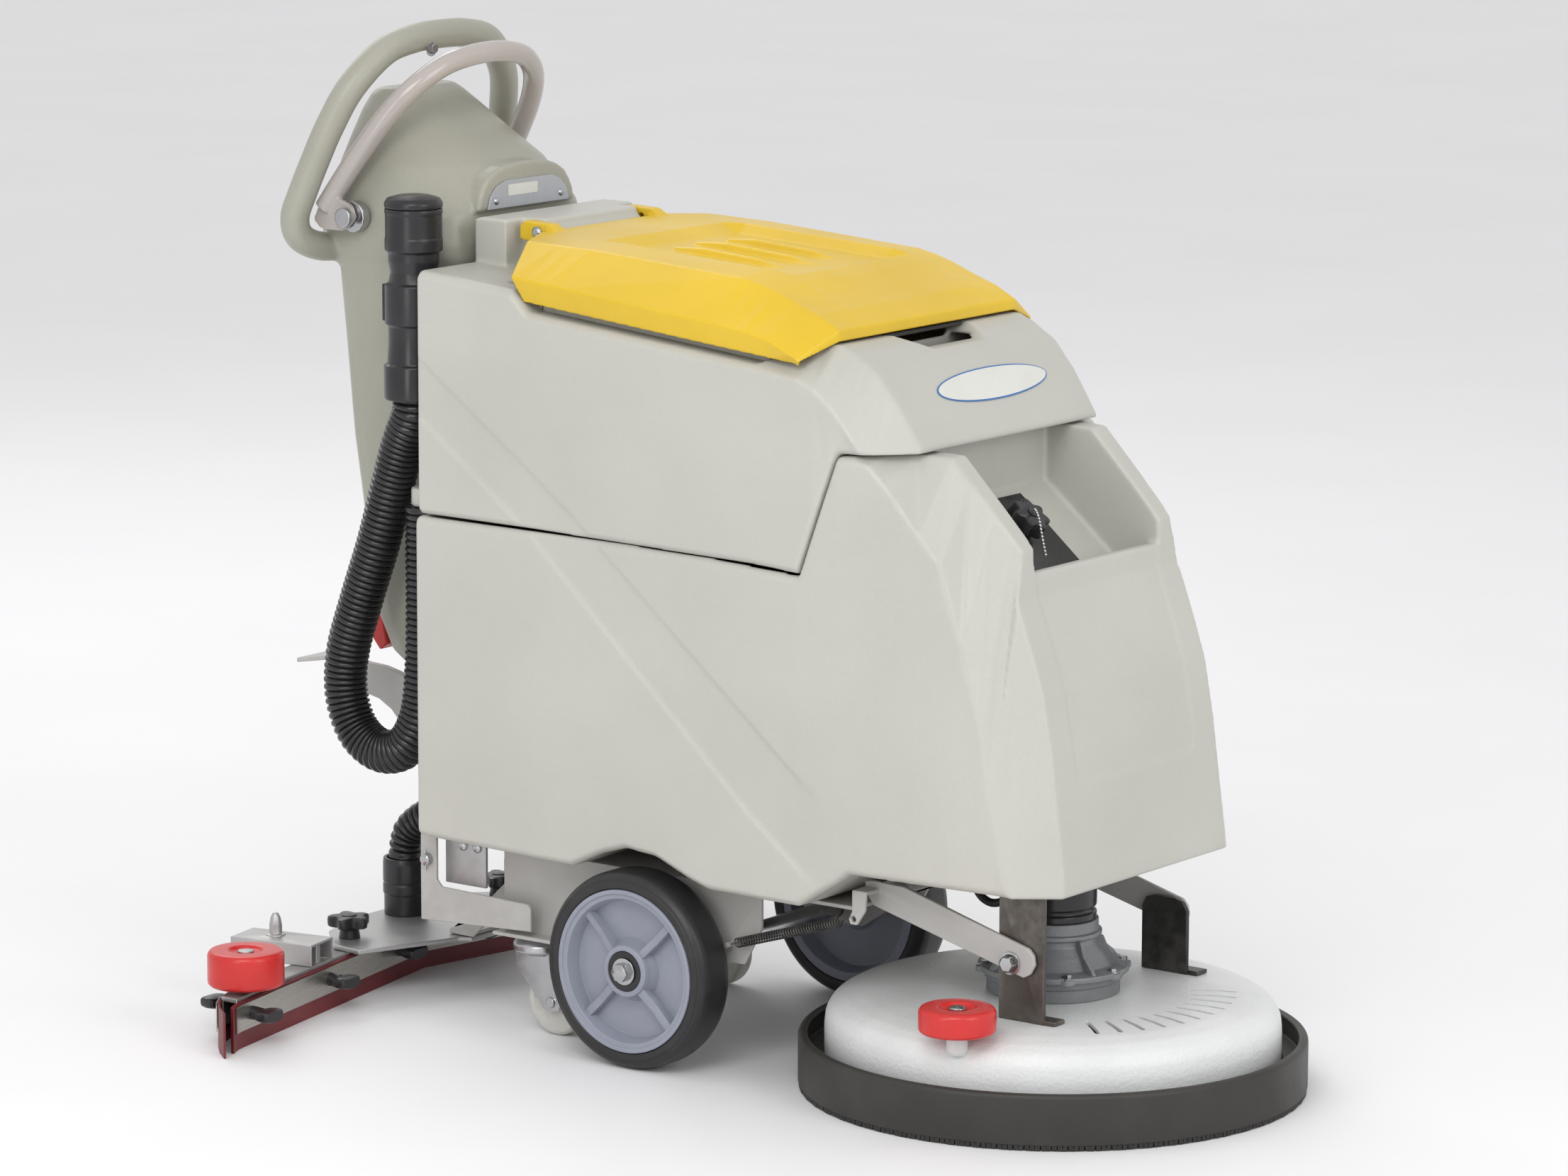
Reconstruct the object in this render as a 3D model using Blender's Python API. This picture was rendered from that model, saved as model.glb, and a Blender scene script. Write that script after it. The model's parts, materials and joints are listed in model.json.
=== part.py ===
"""Walk-behind floor scrubber, built from its separate parts.

Metres, +Z up, +X to the front of the machine, +Y to its left.
All coordinates below count x from the axle of the two large wheels; FRAME_X then moves
the whole machine so that the origin is the middle of its footprint, on the floor.
"""
import math

import bmesh
import bpy
from mathutils import Matrix, Vector

# ---- driving dimensions ------------------------------------------------------
FRAME_X = -0.0435
GAP = 0.0003                  # clearance between touching parts
WHEEL_R = 0.1015              # large wheel, an 8 inch tyre
WHEEL_IN, WHEEL_OUT = 0.165, 0.214
BODY_HALF = 0.200             # half the width of both tanks
TAPER_X, TAPER = 0.22, 0.107  # the sides draw in ahead of here
DECK_X = 0.376                # centre of the brush deck
ARM_PIVOT = (0.2625, 0.0, 0.204)
DECK_PIVOT = (0.4197, 0.0, 0.1577)
LIFT_PIVOT = (-0.245, 0.0, 0.150)
SWING_PIVOT = (-0.350, 0.0, 0.055)
LID_PIVOT = (-0.205, 0.0, 0.8205)
BAIL_PIVOT = (-0.4175, 0.0, 0.8248)
PEDAL_PIVOT = (-0.325, -0.06, 0.207)
CASTER_X, CASTER_Y = -0.168, 0.135
CASTER_TRAIL, CASTER_R = 0.025, 0.036
V_APEX, V_SLOPE = -0.437, 0.2    # front face of the V-shaped squeegee
TIP_Y, BEND_Y, SWEEP = 0.404, 0.38, 9.0
REAR_TIP_Y, REAR_BEND_Y, REAR_SWEEP = 0.424, 0.36, 9.6
SQ_ROLLER_Y = 0.346
CUFF_X = -0.4650
COLUMN_WALL = 0.005
HOSE_R = 0.0232
SIDES = {"right": -1.0, "left": 1.0}
KEY_PROFILE = [(0, 0), (0.0095, 0), (0.0095, -0.006), (0.0070, -0.007), (0, -0.007)]
BUTTON_PROFILE = [(0, 0), (0.0110, 0), (0.0110, -0.0065), (0.0090, -0.0085), (0, -0.0085)]

FINISHES = {
    "tank": ((0.60, 0.59, 0.54), 0.45, 0.0),
    "console": ((0.42, 0.41, 0.35), 0.5, 0.0),
    "lid": ((0.90, 0.58, 0.03), 0.4, 0.0),
    "white": ((0.72, 0.76, 0.76), 0.45, 0.0),
    "black": ((0.02, 0.02, 0.02), 0.4, 0.0),
    "rubber": ((0.03, 0.03, 0.028), 0.7, 0.0),
    "rim": ((0.30, 0.33, 0.42), 0.4, 0.0),
    "red": ((0.75, 0.04, 0.03), 0.4, 0.0),
    "blade": ((0.19, 0.02, 0.03), 0.5, 0.0),
    "steel": ((0.40, 0.39, 0.36), 0.35, 1.0),
    "paint": ((0.52, 0.51, 0.49), 0.4, 0.0),
    "zinc": ((0.60, 0.60, 0.60), 0.25, 1.0),
    "dark_steel": ((0.09, 0.08, 0.075), 0.5, 0.8),
    "casting": ((0.28, 0.29, 0.31), 0.5, 0.3),
    "bail": ((0.48, 0.44, 0.40), 0.2, 0.0),
}


# ---- building blocks -----------------------------------------------------------
def finish_material(key):
    material = bpy.data.materials.get(key)
    if material is None:
        colour, roughness, metallic = FINISHES[key]
        material = bpy.data.materials.new(key)
        material.use_nodes = True
        shader = material.node_tree.nodes["Principled BSDF"]
        shader.inputs["Base Color"].default_value = (*colour, 1.0)
        shader.inputs["Roughness"].default_value = roughness
        shader.inputs["Metallic"].default_value = metallic
    return material


def add_part(name, bm, finish, pivot=(0.0, 0.0, 0.0)):
    """Turn a bmesh in machine coordinates into an object with its origin at pivot."""
    bmesh.ops.remove_doubles(bm, verts=bm.verts, dist=1e-6)
    bmesh.ops.recalc_face_normals(bm, faces=bm.faces)
    bmesh.ops.translate(bm, verts=bm.verts, vec=-Vector(pivot))
    mesh = bpy.data.meshes.new(name)
    bm.to_mesh(mesh)
    bm.free()
    mesh.shade_smooth()
    mesh.set_sharp_from_angle(angle=math.radians(35))
    part = bpy.data.objects.new(name, mesh)
    part.location = Vector(pivot) + Vector((FRAME_X, 0.0, 0.0))
    part.data.materials.append(finish_material(finish))
    bpy.context.collection.objects.link(part)
    return part


def combine(part, bm, operation):
    """Join a shape to a part, or cut it out, with a hidden tool object."""
    tool = add_part(part.name + "_tool", bm, "paint")
    tool.hide_render = True
    tool.display_type = "WIRE"
    tool.hide_set(True)
    modifier = part.modifiers.new(operation.lower(), "BOOLEAN")
    modifier.operation = operation
    modifier.solver = "EXACT"
    modifier.object = tool


def cut(part, bm):
    combine(part, bm, "DIFFERENCE")


def fuse(part, bm):
    combine(part, bm, "UNION")


def loft(rings, closed=False):
    """A closed body through rings of equally many points; closed joins last to first."""
    bm = bmesh.new()
    loops = [[bm.verts.new(p) for p in ring] for ring in rings]
    count = len(loops[0])
    pairs = list(zip(loops, loops[1:]))
    if closed:
        pairs.append((loops[-1], loops[0]))
    for one, two in pairs:
        for i in range(count):
            j = (i + 1) % count
            bm.faces.new((one[i], one[j], two[j], two[i]))
    if not closed:
        bm.faces.new(loops[0])
        bm.faces.new(loops[-1])
    return bm


def box(x0, x1, y0, y1, z0, z1):
    lower = [(x0, y0, z0), (x1, y0, z0), (x1, y1, z0), (x0, y1, z0)]
    return loft([lower, [(x, y, z1) for x, y, _ in lower]])


def slab_y(outline, y0, y1):
    """An (x, z) outline extruded along Y."""
    return loft([[(x, y0, z) for x, z in outline], [(x, y1, z) for x, z in outline]])


def slab_z(outline, z0, z1):
    """An (x, y) outline extruded along Z."""
    return loft([[(x, y, z0) for x, y in outline], [(x, y, z1) for x, y in outline]])


def slab_x(outline, x0, x1):
    """A (y, z) outline extruded along X."""
    return loft([[(x0, y, z) for y, z in outline], [(x1, y, z) for y, z in outline]])


def turned(profile, centre, axis="Z", segments=32):
    """Turn a closed (radius, height) profile; a radius of 0 lies on the axis."""
    bm = bmesh.new()
    rings = []
    for i in range(segments):
        a = 2 * math.pi * i / segments
        rings.append([bm.verts.new((r * math.cos(a), r * math.sin(a), h)) for r, h in profile])
    count = len(profile)
    for i in range(segments):
        one, two = rings[i], rings[(i + 1) % segments]
        for k in range(count):
            m = (k + 1) % count
            if profile[k][0] == 0 and profile[m][0] == 0:
                continue
            if profile[k][0] == 0:
                bm.faces.new((one[k], one[m], two[m]))
            elif profile[m][0] == 0:
                bm.faces.new((one[k], one[m], two[k]))
            else:
                bm.faces.new((one[k], one[m], two[m], two[k]))
    bmesh.ops.remove_doubles(bm, verts=bm.verts, dist=1e-7)
    flat = [v for v in bm.verts if v.co.xy.length < 1e-9
            and all(abs(e.other_vert(v).co.z - v.co.z) < 1e-9 for e in v.link_edges)]
    bmesh.ops.dissolve_verts(bm, verts=flat)
    turn = {"Z": Matrix.Identity(4), "Y": Matrix.Rotation(-math.pi / 2, 4, "X"),
            "X": Matrix.Rotation(math.pi / 2, 4, "Y")}[axis]
    bmesh.ops.transform(bm, matrix=Matrix.Translation(centre) @ turn, verts=bm.verts)
    return bm


def cylinder(radius, low, high, centre, axis="Z", segments=24):
    profile = [(0, low), (radius, low), (radius, high), (0, high)]
    return turned(profile, centre, axis, segments)


def hexagon(radius, low, high, centre, axis="Z"):
    return cylinder(radius, low, high, centre, axis, 6)


def add_shapes(base, *others):
    """Put separate bodies into one bmesh."""
    for other in others:
        mesh = bpy.data.meshes.new("piece")
        other.to_mesh(mesh)
        other.free()
        base.from_mesh(mesh)
        bpy.data.meshes.remove(mesh)
    return base


def smooth_route(points, count):
    """Evenly spread points on a Catmull-Rom curve through the given ones."""
    pts = [Vector(p) for p in points]
    pts = [2 * pts[0] - pts[1], *pts, 2 * pts[-1] - pts[-2]]
    fine = []
    steps = 20
    for a, b, c, d in zip(pts, pts[1:], pts[2:], pts[3:]):
        for i in range(steps):
            t = i / steps
            fine.append(0.5 * (2 * b + (c - a) * t + (2 * a - 5 * b + 4 * c - d) * t ** 2
                               + (3 * b - a - 3 * c + d) * t ** 3))
    fine.append(pts[-2])
    lengths = [0.0]
    for a, b in zip(fine, fine[1:]):
        lengths.append(lengths[-1] + (b - a).length)
    out = []
    for i in range(count):
        s = lengths[-1] * i / (count - 1)
        k = min(max(j for j, v in enumerate(lengths) if v <= s + 1e-12), len(fine) - 2)
        t = (s - lengths[k]) / (lengths[k + 1] - lengths[k])
        out.append(fine[k].lerp(fine[k + 1], min(t, 1.0)))
    return out


def tube(name, points, radius, finish, count, resolution=2, pivot=(0.0, 0.0, 0.0)):
    """A round bar or hose along a smooth route, with closed ends."""
    curve = bpy.data.curves.new(name, "CURVE")
    curve.dimensions = "3D"
    curve.bevel_depth = radius
    curve.bevel_resolution = resolution
    curve.use_fill_caps = True
    spline = curve.splines.new("POLY")
    route = smooth_route(points, count)
    spline.points.add(len(route) - 1)
    for point, place in zip(spline.points, route):
        point.co = (*(place - Vector(pivot)), 1.0)
    part = bpy.data.objects.new(name, curve)
    part.location = Vector(pivot) + Vector((FRAME_X, 0.0, 0.0))
    part.data.materials.append(finish_material(finish))
    bpy.context.collection.objects.link(part)
    return part


def at(stations, x):
    """Straight-line interpolation in a list of (x, value)."""
    for (x0, v0), (x1, v1) in zip(stations, stations[1:]):
        if x <= x1:
            return v0 + (v1 - v0) * (x - x0) / (x1 - x0)
    return stations[-1][1]


# ---- chassis -------------------------------------------------------------------
def chassis():
    plate = box(-0.270, 0.240, -0.150, 0.150, 0.1865, 0.1905)
    frame = add_part("chassis_frame", plate, "paint")
    side = [(-0.206, 0.188), (-0.206, 0.103), (-0.126, 0.103), (-0.118, 0.129), (-0.06, 0.129),
            (-0.035, 0.086), (0.035, 0.086), (0.0715, 0.1107), (0.104, 0.1119),
            (0.1254, 0.1512), (0.1254, 0.188)]
    rod_arm = [(0.20, 0.1867), (0.262, 0.1867), (0.2745, 0.196), (0.2745, 0.214),
               (0.262, 0.217), (0.232, 0.2035), (0.215, 0.1895), (0.20, 0.1895)]
    link_ear = [(-0.262, 0.188), (-0.262, 0.150), (-0.252, 0.140), (-0.238, 0.140),
                (-0.228, 0.150), (-0.228, 0.188)]
    pedal_ear = [(-0.26, 0.1867), (-0.335, 0.192), (-0.341, 0.207), (-0.335, 0.219),
                 (-0.318, 0.221), (-0.290, 0.1903), (-0.26, 0.1903)]
    for y in SIDES.values():
        fuse(frame, slab_y(side, 0.146 * y, 0.150 * y))
        fuse(frame, box(-0.208, -0.124, *sorted((0.102 * y, 0.1672 * y)), 0.1015, 0.1055))
        fuse(frame, slab_y(rod_arm, 0.100 * y, 0.104 * y))
        fuse(frame, slab_y(link_ear, 0.051 * y, 0.055 * y))
    for y in (-0.0695, -0.0545):
        fuse(frame, slab_y(pedal_ear, y, y + 0.004))
    cut(frame, cylinder(0.0078, -0.12, 0.12, (ARM_PIVOT[0], 0, ARM_PIVOT[2]), "Y"))
    cut(frame, cylinder(0.0104, -0.16, 0.16, (0, 0, WHEEL_R), "Y"))
    cut(frame, cylinder(0.0043, -0.06, 0.06, (LIFT_PIVOT[0], 0, LIFT_PIVOT[2]), "Y", 16))
    cut(frame, cylinder(0.0043, -0.075, -0.045, (PEDAL_PIVOT[0], 0, PEDAL_PIVOT[2]), "Y", 16))
    # the stud that holds the rear end of the deck spring
    fuse(frame, cylinder(0.003, -0.1605, -0.148, (0.0887, 0, 0.1314), "Y", 12))


def rear_hangers():
    """L-shaped side plates at the back, one on each side."""
    outline = [(-0.299, 0.1055), (-0.153, 0.1125), (-0.153, 0.136), (-0.157, 0.1405),
               (-0.272, 0.1435), (-0.278, 0.150), (-0.278, 0.1955), (-0.299, 0.1965)]
    for label, side in SIDES.items():
        y0, y1 = sorted((0.1685 * side, 0.1725 * side))
        add_part("rear_hanger_" + label, slab_y(outline, y0, y1), "paint")


def axle():
    """The through axle, ending in a washer and a hex head outside each wheel."""
    shaft = add_part("axle", cylinder(0.0100, -0.2134, 0.2134, (0, 0, WHEEL_R), "Y", 24), "zinc")
    for side in SIDES.values():
        washer = sorted((0.2125 * side, 0.2158 * side))
        head = sorted((0.2150 * side, 0.2225 * side))
        fuse(shaft, cylinder(0.0150, *washer, (0, 0, WHEEL_R), "Y", 24))
        fuse(shaft, hexagon(0.0098, *head, (0, 0, WHEEL_R), "Y"))


def wheels():
    middle = (WHEEL_IN + WHEEL_OUT) / 2
    half = (WHEEL_OUT - WHEEL_IN) / 2
    for label, side in SIDES.items():
        centre = (0, middle * side, WHEEL_R)
        rim = [(0.0104, -half), (0.026, -half), (0.028, -0.014), (0.031, -0.008),
               (0.070, -0.008), (0.0745, -half), (0.0835, -half), (0.0835, half),
               (0.0745, half), (0.070, 0.008), (0.031, 0.008), (0.028, 0.014),
               (0.026, half - 0.0015), (0.0104, half - 0.0015)]
        if side < 0:
            rim = [(r, -h) for r, h in reversed(rim)]
        add_part("wheel_rim_" + label, turned(rim, centre, "Y", 24), "rim", centre)
        tyre = [(0.0839, -half), (0.0975, -half), (WHEEL_R, -half + 0.006),
                (WHEEL_R, half - 0.006), (0.0975, half), (0.0839, half)]
        add_part("tyre_" + label, turned(tyre, centre, "Y", 32), "rubber", centre)


def casters():
    for label, side in SIDES.items():
        y = CASTER_Y * side
        swivel = (CASTER_X, y, 0.09)
        head = [(0, 0.083), (0.024, 0.083), (0.030, 0.087), (0.030, 0.0935), (0.0255, 0.0985),
                (0.0225, 0.1008), (0, 0.1008)]
        fork = add_part("caster_fork_" + label, turned(head, (CASTER_X, y, 0), "Z", 18), "zinc",
                        swivel)
        axle_x = CASTER_X + CASTER_TRAIL
        cheek = [(CASTER_X - 0.023, 0.088), (CASTER_X - 0.023, 0.070), (axle_x - 0.010, 0.028),
                 (axle_x, 0.025), (axle_x + 0.010, 0.028), (axle_x + 0.012, 0.040),
                 (CASTER_X + 0.023, 0.075), (CASTER_X + 0.023, 0.088)]
        for offset in (-0.0165, 0.0140):
            fuse(fork, slab_y(cheek, y + offset, y + offset + 0.0025))
        fuse(fork, cylinder(0.0055, y - 0.0195, y - 0.0155, (axle_x, 0, CASTER_R), "Y", 16))
        fuse(fork, cylinder(0.0055, y + 0.0155, y + 0.0195, (axle_x, 0, CASTER_R), "Y", 16))
        hub = (axle_x, y, CASTER_R)
        wheel = [(0, -0.0125), (0.009, -0.0125), (0.011, -0.009), (0.026, -0.009),
                 (0.028, -0.011), (0.034, -0.011), (CASTER_R, -0.007), (CASTER_R, 0.007),
                 (0.034, 0.011), (0.028, 0.011), (0.026, 0.009), (0.011, 0.009),
                 (0.009, 0.0125), (0, 0.0125)]
        add_part("caster_wheel_" + label, turned(wheel, hub, "Y", 18), "white", hub)


# ---- tanks ---------------------------------------------------------------------
def side_half(x):
    return BODY_HALF - TAPER * max(0.0, x - TAPER_X)


def body_ring(x, low, side, crown, inset=0.0):
    """One cross-section: (half width, z) of the side's top and of the flat top's edge."""
    low_y = min(side_half(x), side[0]) - inset
    edge = min(0.005, 0.4 * (side[1] - low))
    half = [(x, low_y - edge, low + inset), (x, low_y, low + edge + inset),
            (x, side[0] - inset, side[1] - inset), (x, crown[0] - inset, crown[1] - inset)]
    return half + [(x, -y, z) for x, y, z in reversed(half)]


def tank_rings(low, rings, back, corner=0.003):
    """All cross-sections of a tank, with the corners at its back cut off."""
    x, side, crown = rings[0]
    sections = [body_ring(back, at(low, x), side, crown, corner)]
    return sections + [body_ring(x, at(low, x), side, crown) for x, side, crown in rings]


def side_band():
    """Shallow slanting band pressed into both sides of both tanks."""
    outline = [(-0.300, 0.7165), (-0.0815, 0.5614), (0.2454, 0.2923), (0.316, 0.2210),
               (0.2242, 0.2177), (0.1456, 0.2791), (-0.1332, 0.5316), (-0.300, 0.6545)]
    depth = 0.0022
    right = slab_y(outline, -BODY_HALF - 0.01, -BODY_HALF + depth)
    left = slab_y(outline, BODY_HALF - depth, BODY_HALF + 0.01)
    return add_shapes(right, left)


def solution_tank():
    low = [(-0.281, 0.2010), (-0.079, 0.1963), (-0.040, 0.2146), (-0.0105, 0.2236),
           (0.028, 0.2200), (0.071, 0.2026), (0.095, 0.1955), (0.2112, 0.1945),
           (0.2631, 0.2330), (0.52, 0.2300)]
    # x, (half width, z) where the side ends, (half width, z) of the top's edge
    rings = [(-0.278, (0.200, 0.530), (0.196, 0.5350)), (-0.079, (0.200, 0.528), (0.196, 0.5335)),
             (-0.040, (0.200, 0.528), (0.196, 0.5332)), (-0.0105, (0.200, 0.527), (0.196, 0.5329)),
             (0.028, (0.200, 0.527), (0.196, 0.5318)), (0.071, (0.200, 0.526), (0.196, 0.5306)),
             (0.095, (0.200, 0.525), (0.196, 0.5302)), (0.2055, (0.200, 0.518), (0.196, 0.5240)),
             (0.2490, (0.1969, 0.640), (0.192, 0.6462)), (0.2631, (0.1954, 0.642), (0.190, 0.6472)),
             (0.285, (0.1930, 0.640), (0.165, 0.6472)), (0.3047, (0.191, 0.6205), (0.1417, 0.6472)),
             (0.3421, (0.187, 0.575), (0.1322, 0.6462)), (0.3630, (0.185, 0.550), (0.1318, 0.6250)),
             (0.3900, (0.182, 0.466), (0.1310, 0.5980)), (0.4110, (0.180, 0.389), (0.1300, 0.5760)),
             (0.4227, (0.178, 0.318), (0.1296, 0.5627)), (0.4250, (0.1775, 0.306), (0.142, 0.515)),
             (0.4360, (0.177, 0.245), (0.142, 0.487)), (0.4456, (0.176, 0.2305), (0.142, 0.461))]
    rings += [(x, (0.176 - (x - 0.4456) * 0.783, 0.2340), (0.142, z))
              for x, z in ((0.4580, 0.424), (0.4686, 0.3675), (0.4769, 0.3064), (0.4855, 0.2460))]
    tank = add_part("solution_tank", loft(tank_rings(low, rings, -0.281)), "tank")
    cavity = [(-0.267, 0.212), (-0.085, 0.212), (-0.050, 0.232), (0.075, 0.232), (0.10, 0.212),
              (0.198, 0.212), (0.241, 0.243), (0.241, 0.378), (0.241, 0.56), (-0.267, 0.56)]
    cut(tank, slab_y(cavity[:-2] + [(0.200, 0.500), (0.200, 0.56), (-0.267, 0.56)], -0.190, 0.190))
    front = [(0.19, 0.378), (0.420, 0.378), (0.405, 0.480), (0.378, 0.494), (0.275, 0.574),
             (0.235, 0.520), (0.19, 0.500)]
    cut(tank, slab_y(front, -0.135, 0.135))
    recess = [(0.250, 0.180), (0.478, 0.180), (0.478, 0.235), (0.460, 0.365), (0.250, 0.370)]
    cut(tank, slab_y(recess, -0.140, 0.140))
    # filling pocket between the two front shoulders
    pocket = [(0.285, 0.700), (0.285, 0.5894), (0.3880, 0.5036), (0.3960, 0.5050),
              (0.4040, 0.5290), (0.4120, 0.5385), (0.450, 0.5385), (0.450, 0.700)]
    cut(tank, slab_y(pocket, -0.1085, 0.1085))
    cut(tank, side_band())
    return tank


def battery_pack():
    """Two deep-cycle batteries, strapped together."""
    pack = add_part("battery_pack", box(-0.262, -0.048, -0.185, 0.185, 0.2335, 0.455), "black")
    fuse(pack, box(-0.043, 0.190, -0.184, 0.184, 0.2335, 0.455))
    fuse(pack, box(-0.090, 0.010, -0.015, 0.015, 0.453, 0.459))


def pocket_plate():
    down = Vector((0.768, -0.640))
    normal = Vector((0.640, 0.768))
    start = Vector((0.2850, 0.5894))
    corners = [start + down * s + normal * h
               for s, h in ((0.012, GAP), (0.106, GAP), (0.106, 0.0033), (0.012, 0.0033))]
    add_part("pocket_plate", slab_y([tuple(c) for c in corners], -0.075, 0.050), "black")


def filler_cap():
    """Lobed cap standing square on the sloping plate of the filling pocket."""
    base = Vector((0.2850 + 0.768 * 0.0552, 0.0, 0.5894 - 0.640 * 0.0552))
    base += Vector((0.640, 0.0, 0.768)) * 0.0037
    lobes = 7
    star = []
    for i in range(lobes * 4):
        a = 2 * math.pi * i / (lobes * 4)
        r = 0.0195 + 0.0025 * math.cos(lobes * a)
        star.append((r * math.cos(a), r * math.sin(a)))
    neck = turned([(0, 0), (0.0145, 0), (0.0125, 0.0085), (0, 0.0085)], (0, 0, 0), "Z", 20)
    cap = add_part("filler_cap", slab_z(star, 0.008, 0.0245), "black")
    # the neck is placed by the same tilt as the cap
    tilt = Matrix.Rotation(math.atan2(0.640, 0.768), 4, "Y")
    place = Matrix.Translation(base) @ tilt
    cap.data.transform(tilt)
    cap.location = base + Vector((FRAME_X, 0.0, 0.0))
    bmesh.ops.transform(neck, matrix=place, verts=neck.verts)
    fuse(cap, neck)


def recovery_tank():
    # x, bottom z, (half width, z) where the side ends, (half width, z) of the top's edge
    rings = [(-0.274, 0.5375, (0.200, 0.781), (0.194, 0.787)),
             (-0.154, 0.5364, (0.200, 0.770), (0.194, 0.7765)),
             (-0.134, 0.5362, (0.200, 0.749), (0.194, 0.755)),
             (0.150, 0.5300, (0.200, 0.722), (0.194, 0.728)),
             (0.186, 0.5275, (0.200, 0.719), (0.1527, 0.747)),
             (0.2040, 0.5262, (0.200, 0.7180), (0.1527, 0.748)),
             (0.2225, 0.5768, (0.1997, 0.7102), (0.1527, 0.748)),
             (0.2400, 0.6250, (0.1994, 0.6962), (0.1527, 0.7406)),
             (0.2485, 0.6485, (0.1992, 0.6876), (0.1526, 0.7351)),
             (0.2653, 0.6490, (0.1985, 0.668), (0.1523, 0.7255)),
             (0.2750, 0.6495, (0.198, 0.6530), (0.152, 0.7145)),
             (0.2885, 0.6495, (0.1845, 0.6515), (0.1517, 0.6990)),
             (0.3060, 0.6495, (0.1655, 0.6515), (0.1512, 0.6730)),
             (0.3180, 0.6495, (0.1525, 0.6515), (0.1505, 0.6545))]
    low = [(x, z) for x, z, side, crown in rings]
    rings = [(x, side, crown) for x, z, side, crown in rings]
    tank = add_part("recovery_tank", loft(tank_rings(low, rings, -0.277)), "tank")
    # raised hinge housing at the back of the top
    fuse(tank, box(-0.2765, -0.236, -0.105, 0.105, 0.77, 0.832))
    middle = [(-0.250, 0.77), (-0.1975, 0.77), (-0.1975, 0.816), (-0.2070, 0.826),
              (-0.2070, 0.832), (-0.250, 0.832)]
    fuse(tank, slab_y(middle, -0.076, 0.076))
    main = [(-0.271, 0.5445), (0.100, 0.5395), (0.1985, 0.5345), (0.2170, 0.590),
            (0.2170, 0.706), (0.15, 0.714),
            (-0.140, 0.741), (-0.160, 0.763), (-0.271, 0.773)]
    cut(tank, slab_y(main, -0.193, 0.193))
    nose = [(0.20, 0.600), (0.2225, 0.600), (0.2440, 0.6565), (0.300, 0.6565), (0.2785, 0.690),
            (0.258, 0.719), (0.225, 0.736), (0.20, 0.736)]
    cut(tank, slab_y(nose, -0.145, 0.145))
    cut(tank, box(-0.185, 0.196, -0.166, 0.166, 0.66, 0.86))
    notch = [(-0.074, 0.760), (-0.078, 0.7535), (-0.033, 0.7340), (0.055, 0.7340),
             (0.070, 0.7535), (0.066, 0.760)]
    cut(tank, slab_x(notch, 0.190, 0.300))
    cut(tank, side_band())
    # stub at the back for the drain hose
    fuse(tank, box(-0.306, -0.273, -0.158, -0.142, 0.541, 0.556))
    fuse(tank, cylinder(0.0165, 0.5362, 0.5560, (-0.3055, -0.150, 0), "Z", 16))
    return tank


def lid():
    """Moulded lid: a thin skin with a sunk tray, sloping sides and a turned-down edge."""
    # across: half-width, and where the column starts and ends
    columns = [(0.0, -0.194, 0.2186), (0.090, -0.194, 0.2186), (0.104, -0.192, 0.2186),
               (0.150, -0.172, 0.2186), (0.200, -0.153, 0.2035), (0.1925, -0.1425, 0.1975)]
    stations = [-0.194, -0.130, -0.110, -0.088, 0.100, 0.122, 0.140, 0.166, 0.194, 0.2186]
    crown = [(-0.20, 0.8235), (-0.170, 0.822), (-0.027, 0.819), (0.1085, 0.808),
             (0.140, 0.798), (0.166, 0.787), (0.194, 0.7765), (0.2186, 0.762)]
    shoulder = [(-0.20, 0.8225), (-0.170, 0.820), (-0.027, 0.8155), (0.1085, 0.8035),
                (0.140, 0.794), (0.166, 0.784), (0.194, 0.7745), (0.2186, 0.762)]
    crease = [(-0.153, 0.790), (0.0124, 0.773), (0.1464, 0.759), (0.1728, 0.7526), (0.2035, 0.7375)]
    hem = [(-0.1425, 0.7646), (0.0045, 0.7496), (0.1975, 0.7315)]
    rows = []
    for number, station in enumerate(stations):
        row = []
        for index, (half, start, end) in enumerate(columns):
            x = start if number == 0 else end if number == len(stations) - 1 else station
            height = at((crown, crown, crown, shoulder, crease, hem)[index], x)
            if index <= 1 and 3 <= number <= 4:
                height -= 0.0095
            row.append((x, half, height))
        rows.append(row)
    rows.append([(0.2192, half, 0.7506) for half in (0.0, 0.090, 0.104, 0.150)]
                + [(0.2050, 0.200, 0.7345), (0.1980, 0.1925, 0.7295)])
    bm = bmesh.new()
    grid = []
    for row in rows:
        left = [bm.verts.new(p) for p in row]
        right = [bm.verts.new((x, -y, z)) for x, y, z in reversed(row[1:])]
        grid.append(right + left)
    for one, two in zip(grid, grid[1:]):
        for i in range(len(one) - 1):
            bm.faces.new((one[i], two[i], two[i + 1], one[i + 1]))
    part = add_part("lid", bm, "lid", LID_PIVOT)
    skin = part.modifiers.new("skin", "SOLIDIFY")
    skin.thickness = 0.004
    skin.offset = -1.0
    ear = [(-0.2285, 0.812), (-0.2285, 0.826), (-0.222, 0.8315), (-0.190, 0.8300),
           (-0.178, 0.8225), (-0.178, 0.8150), (-0.200, 0.808)]
    for side in SIDES.values():
        fuse(part, slab_y(ear, 0.0775 * side, 0.0925 * side))
        cut(part, cylinder(0.0042, 0.070 * side, 0.097 * side, (LID_PIVOT[0], 0, LID_PIVOT[2]),
                           "Y", 16))


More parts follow.
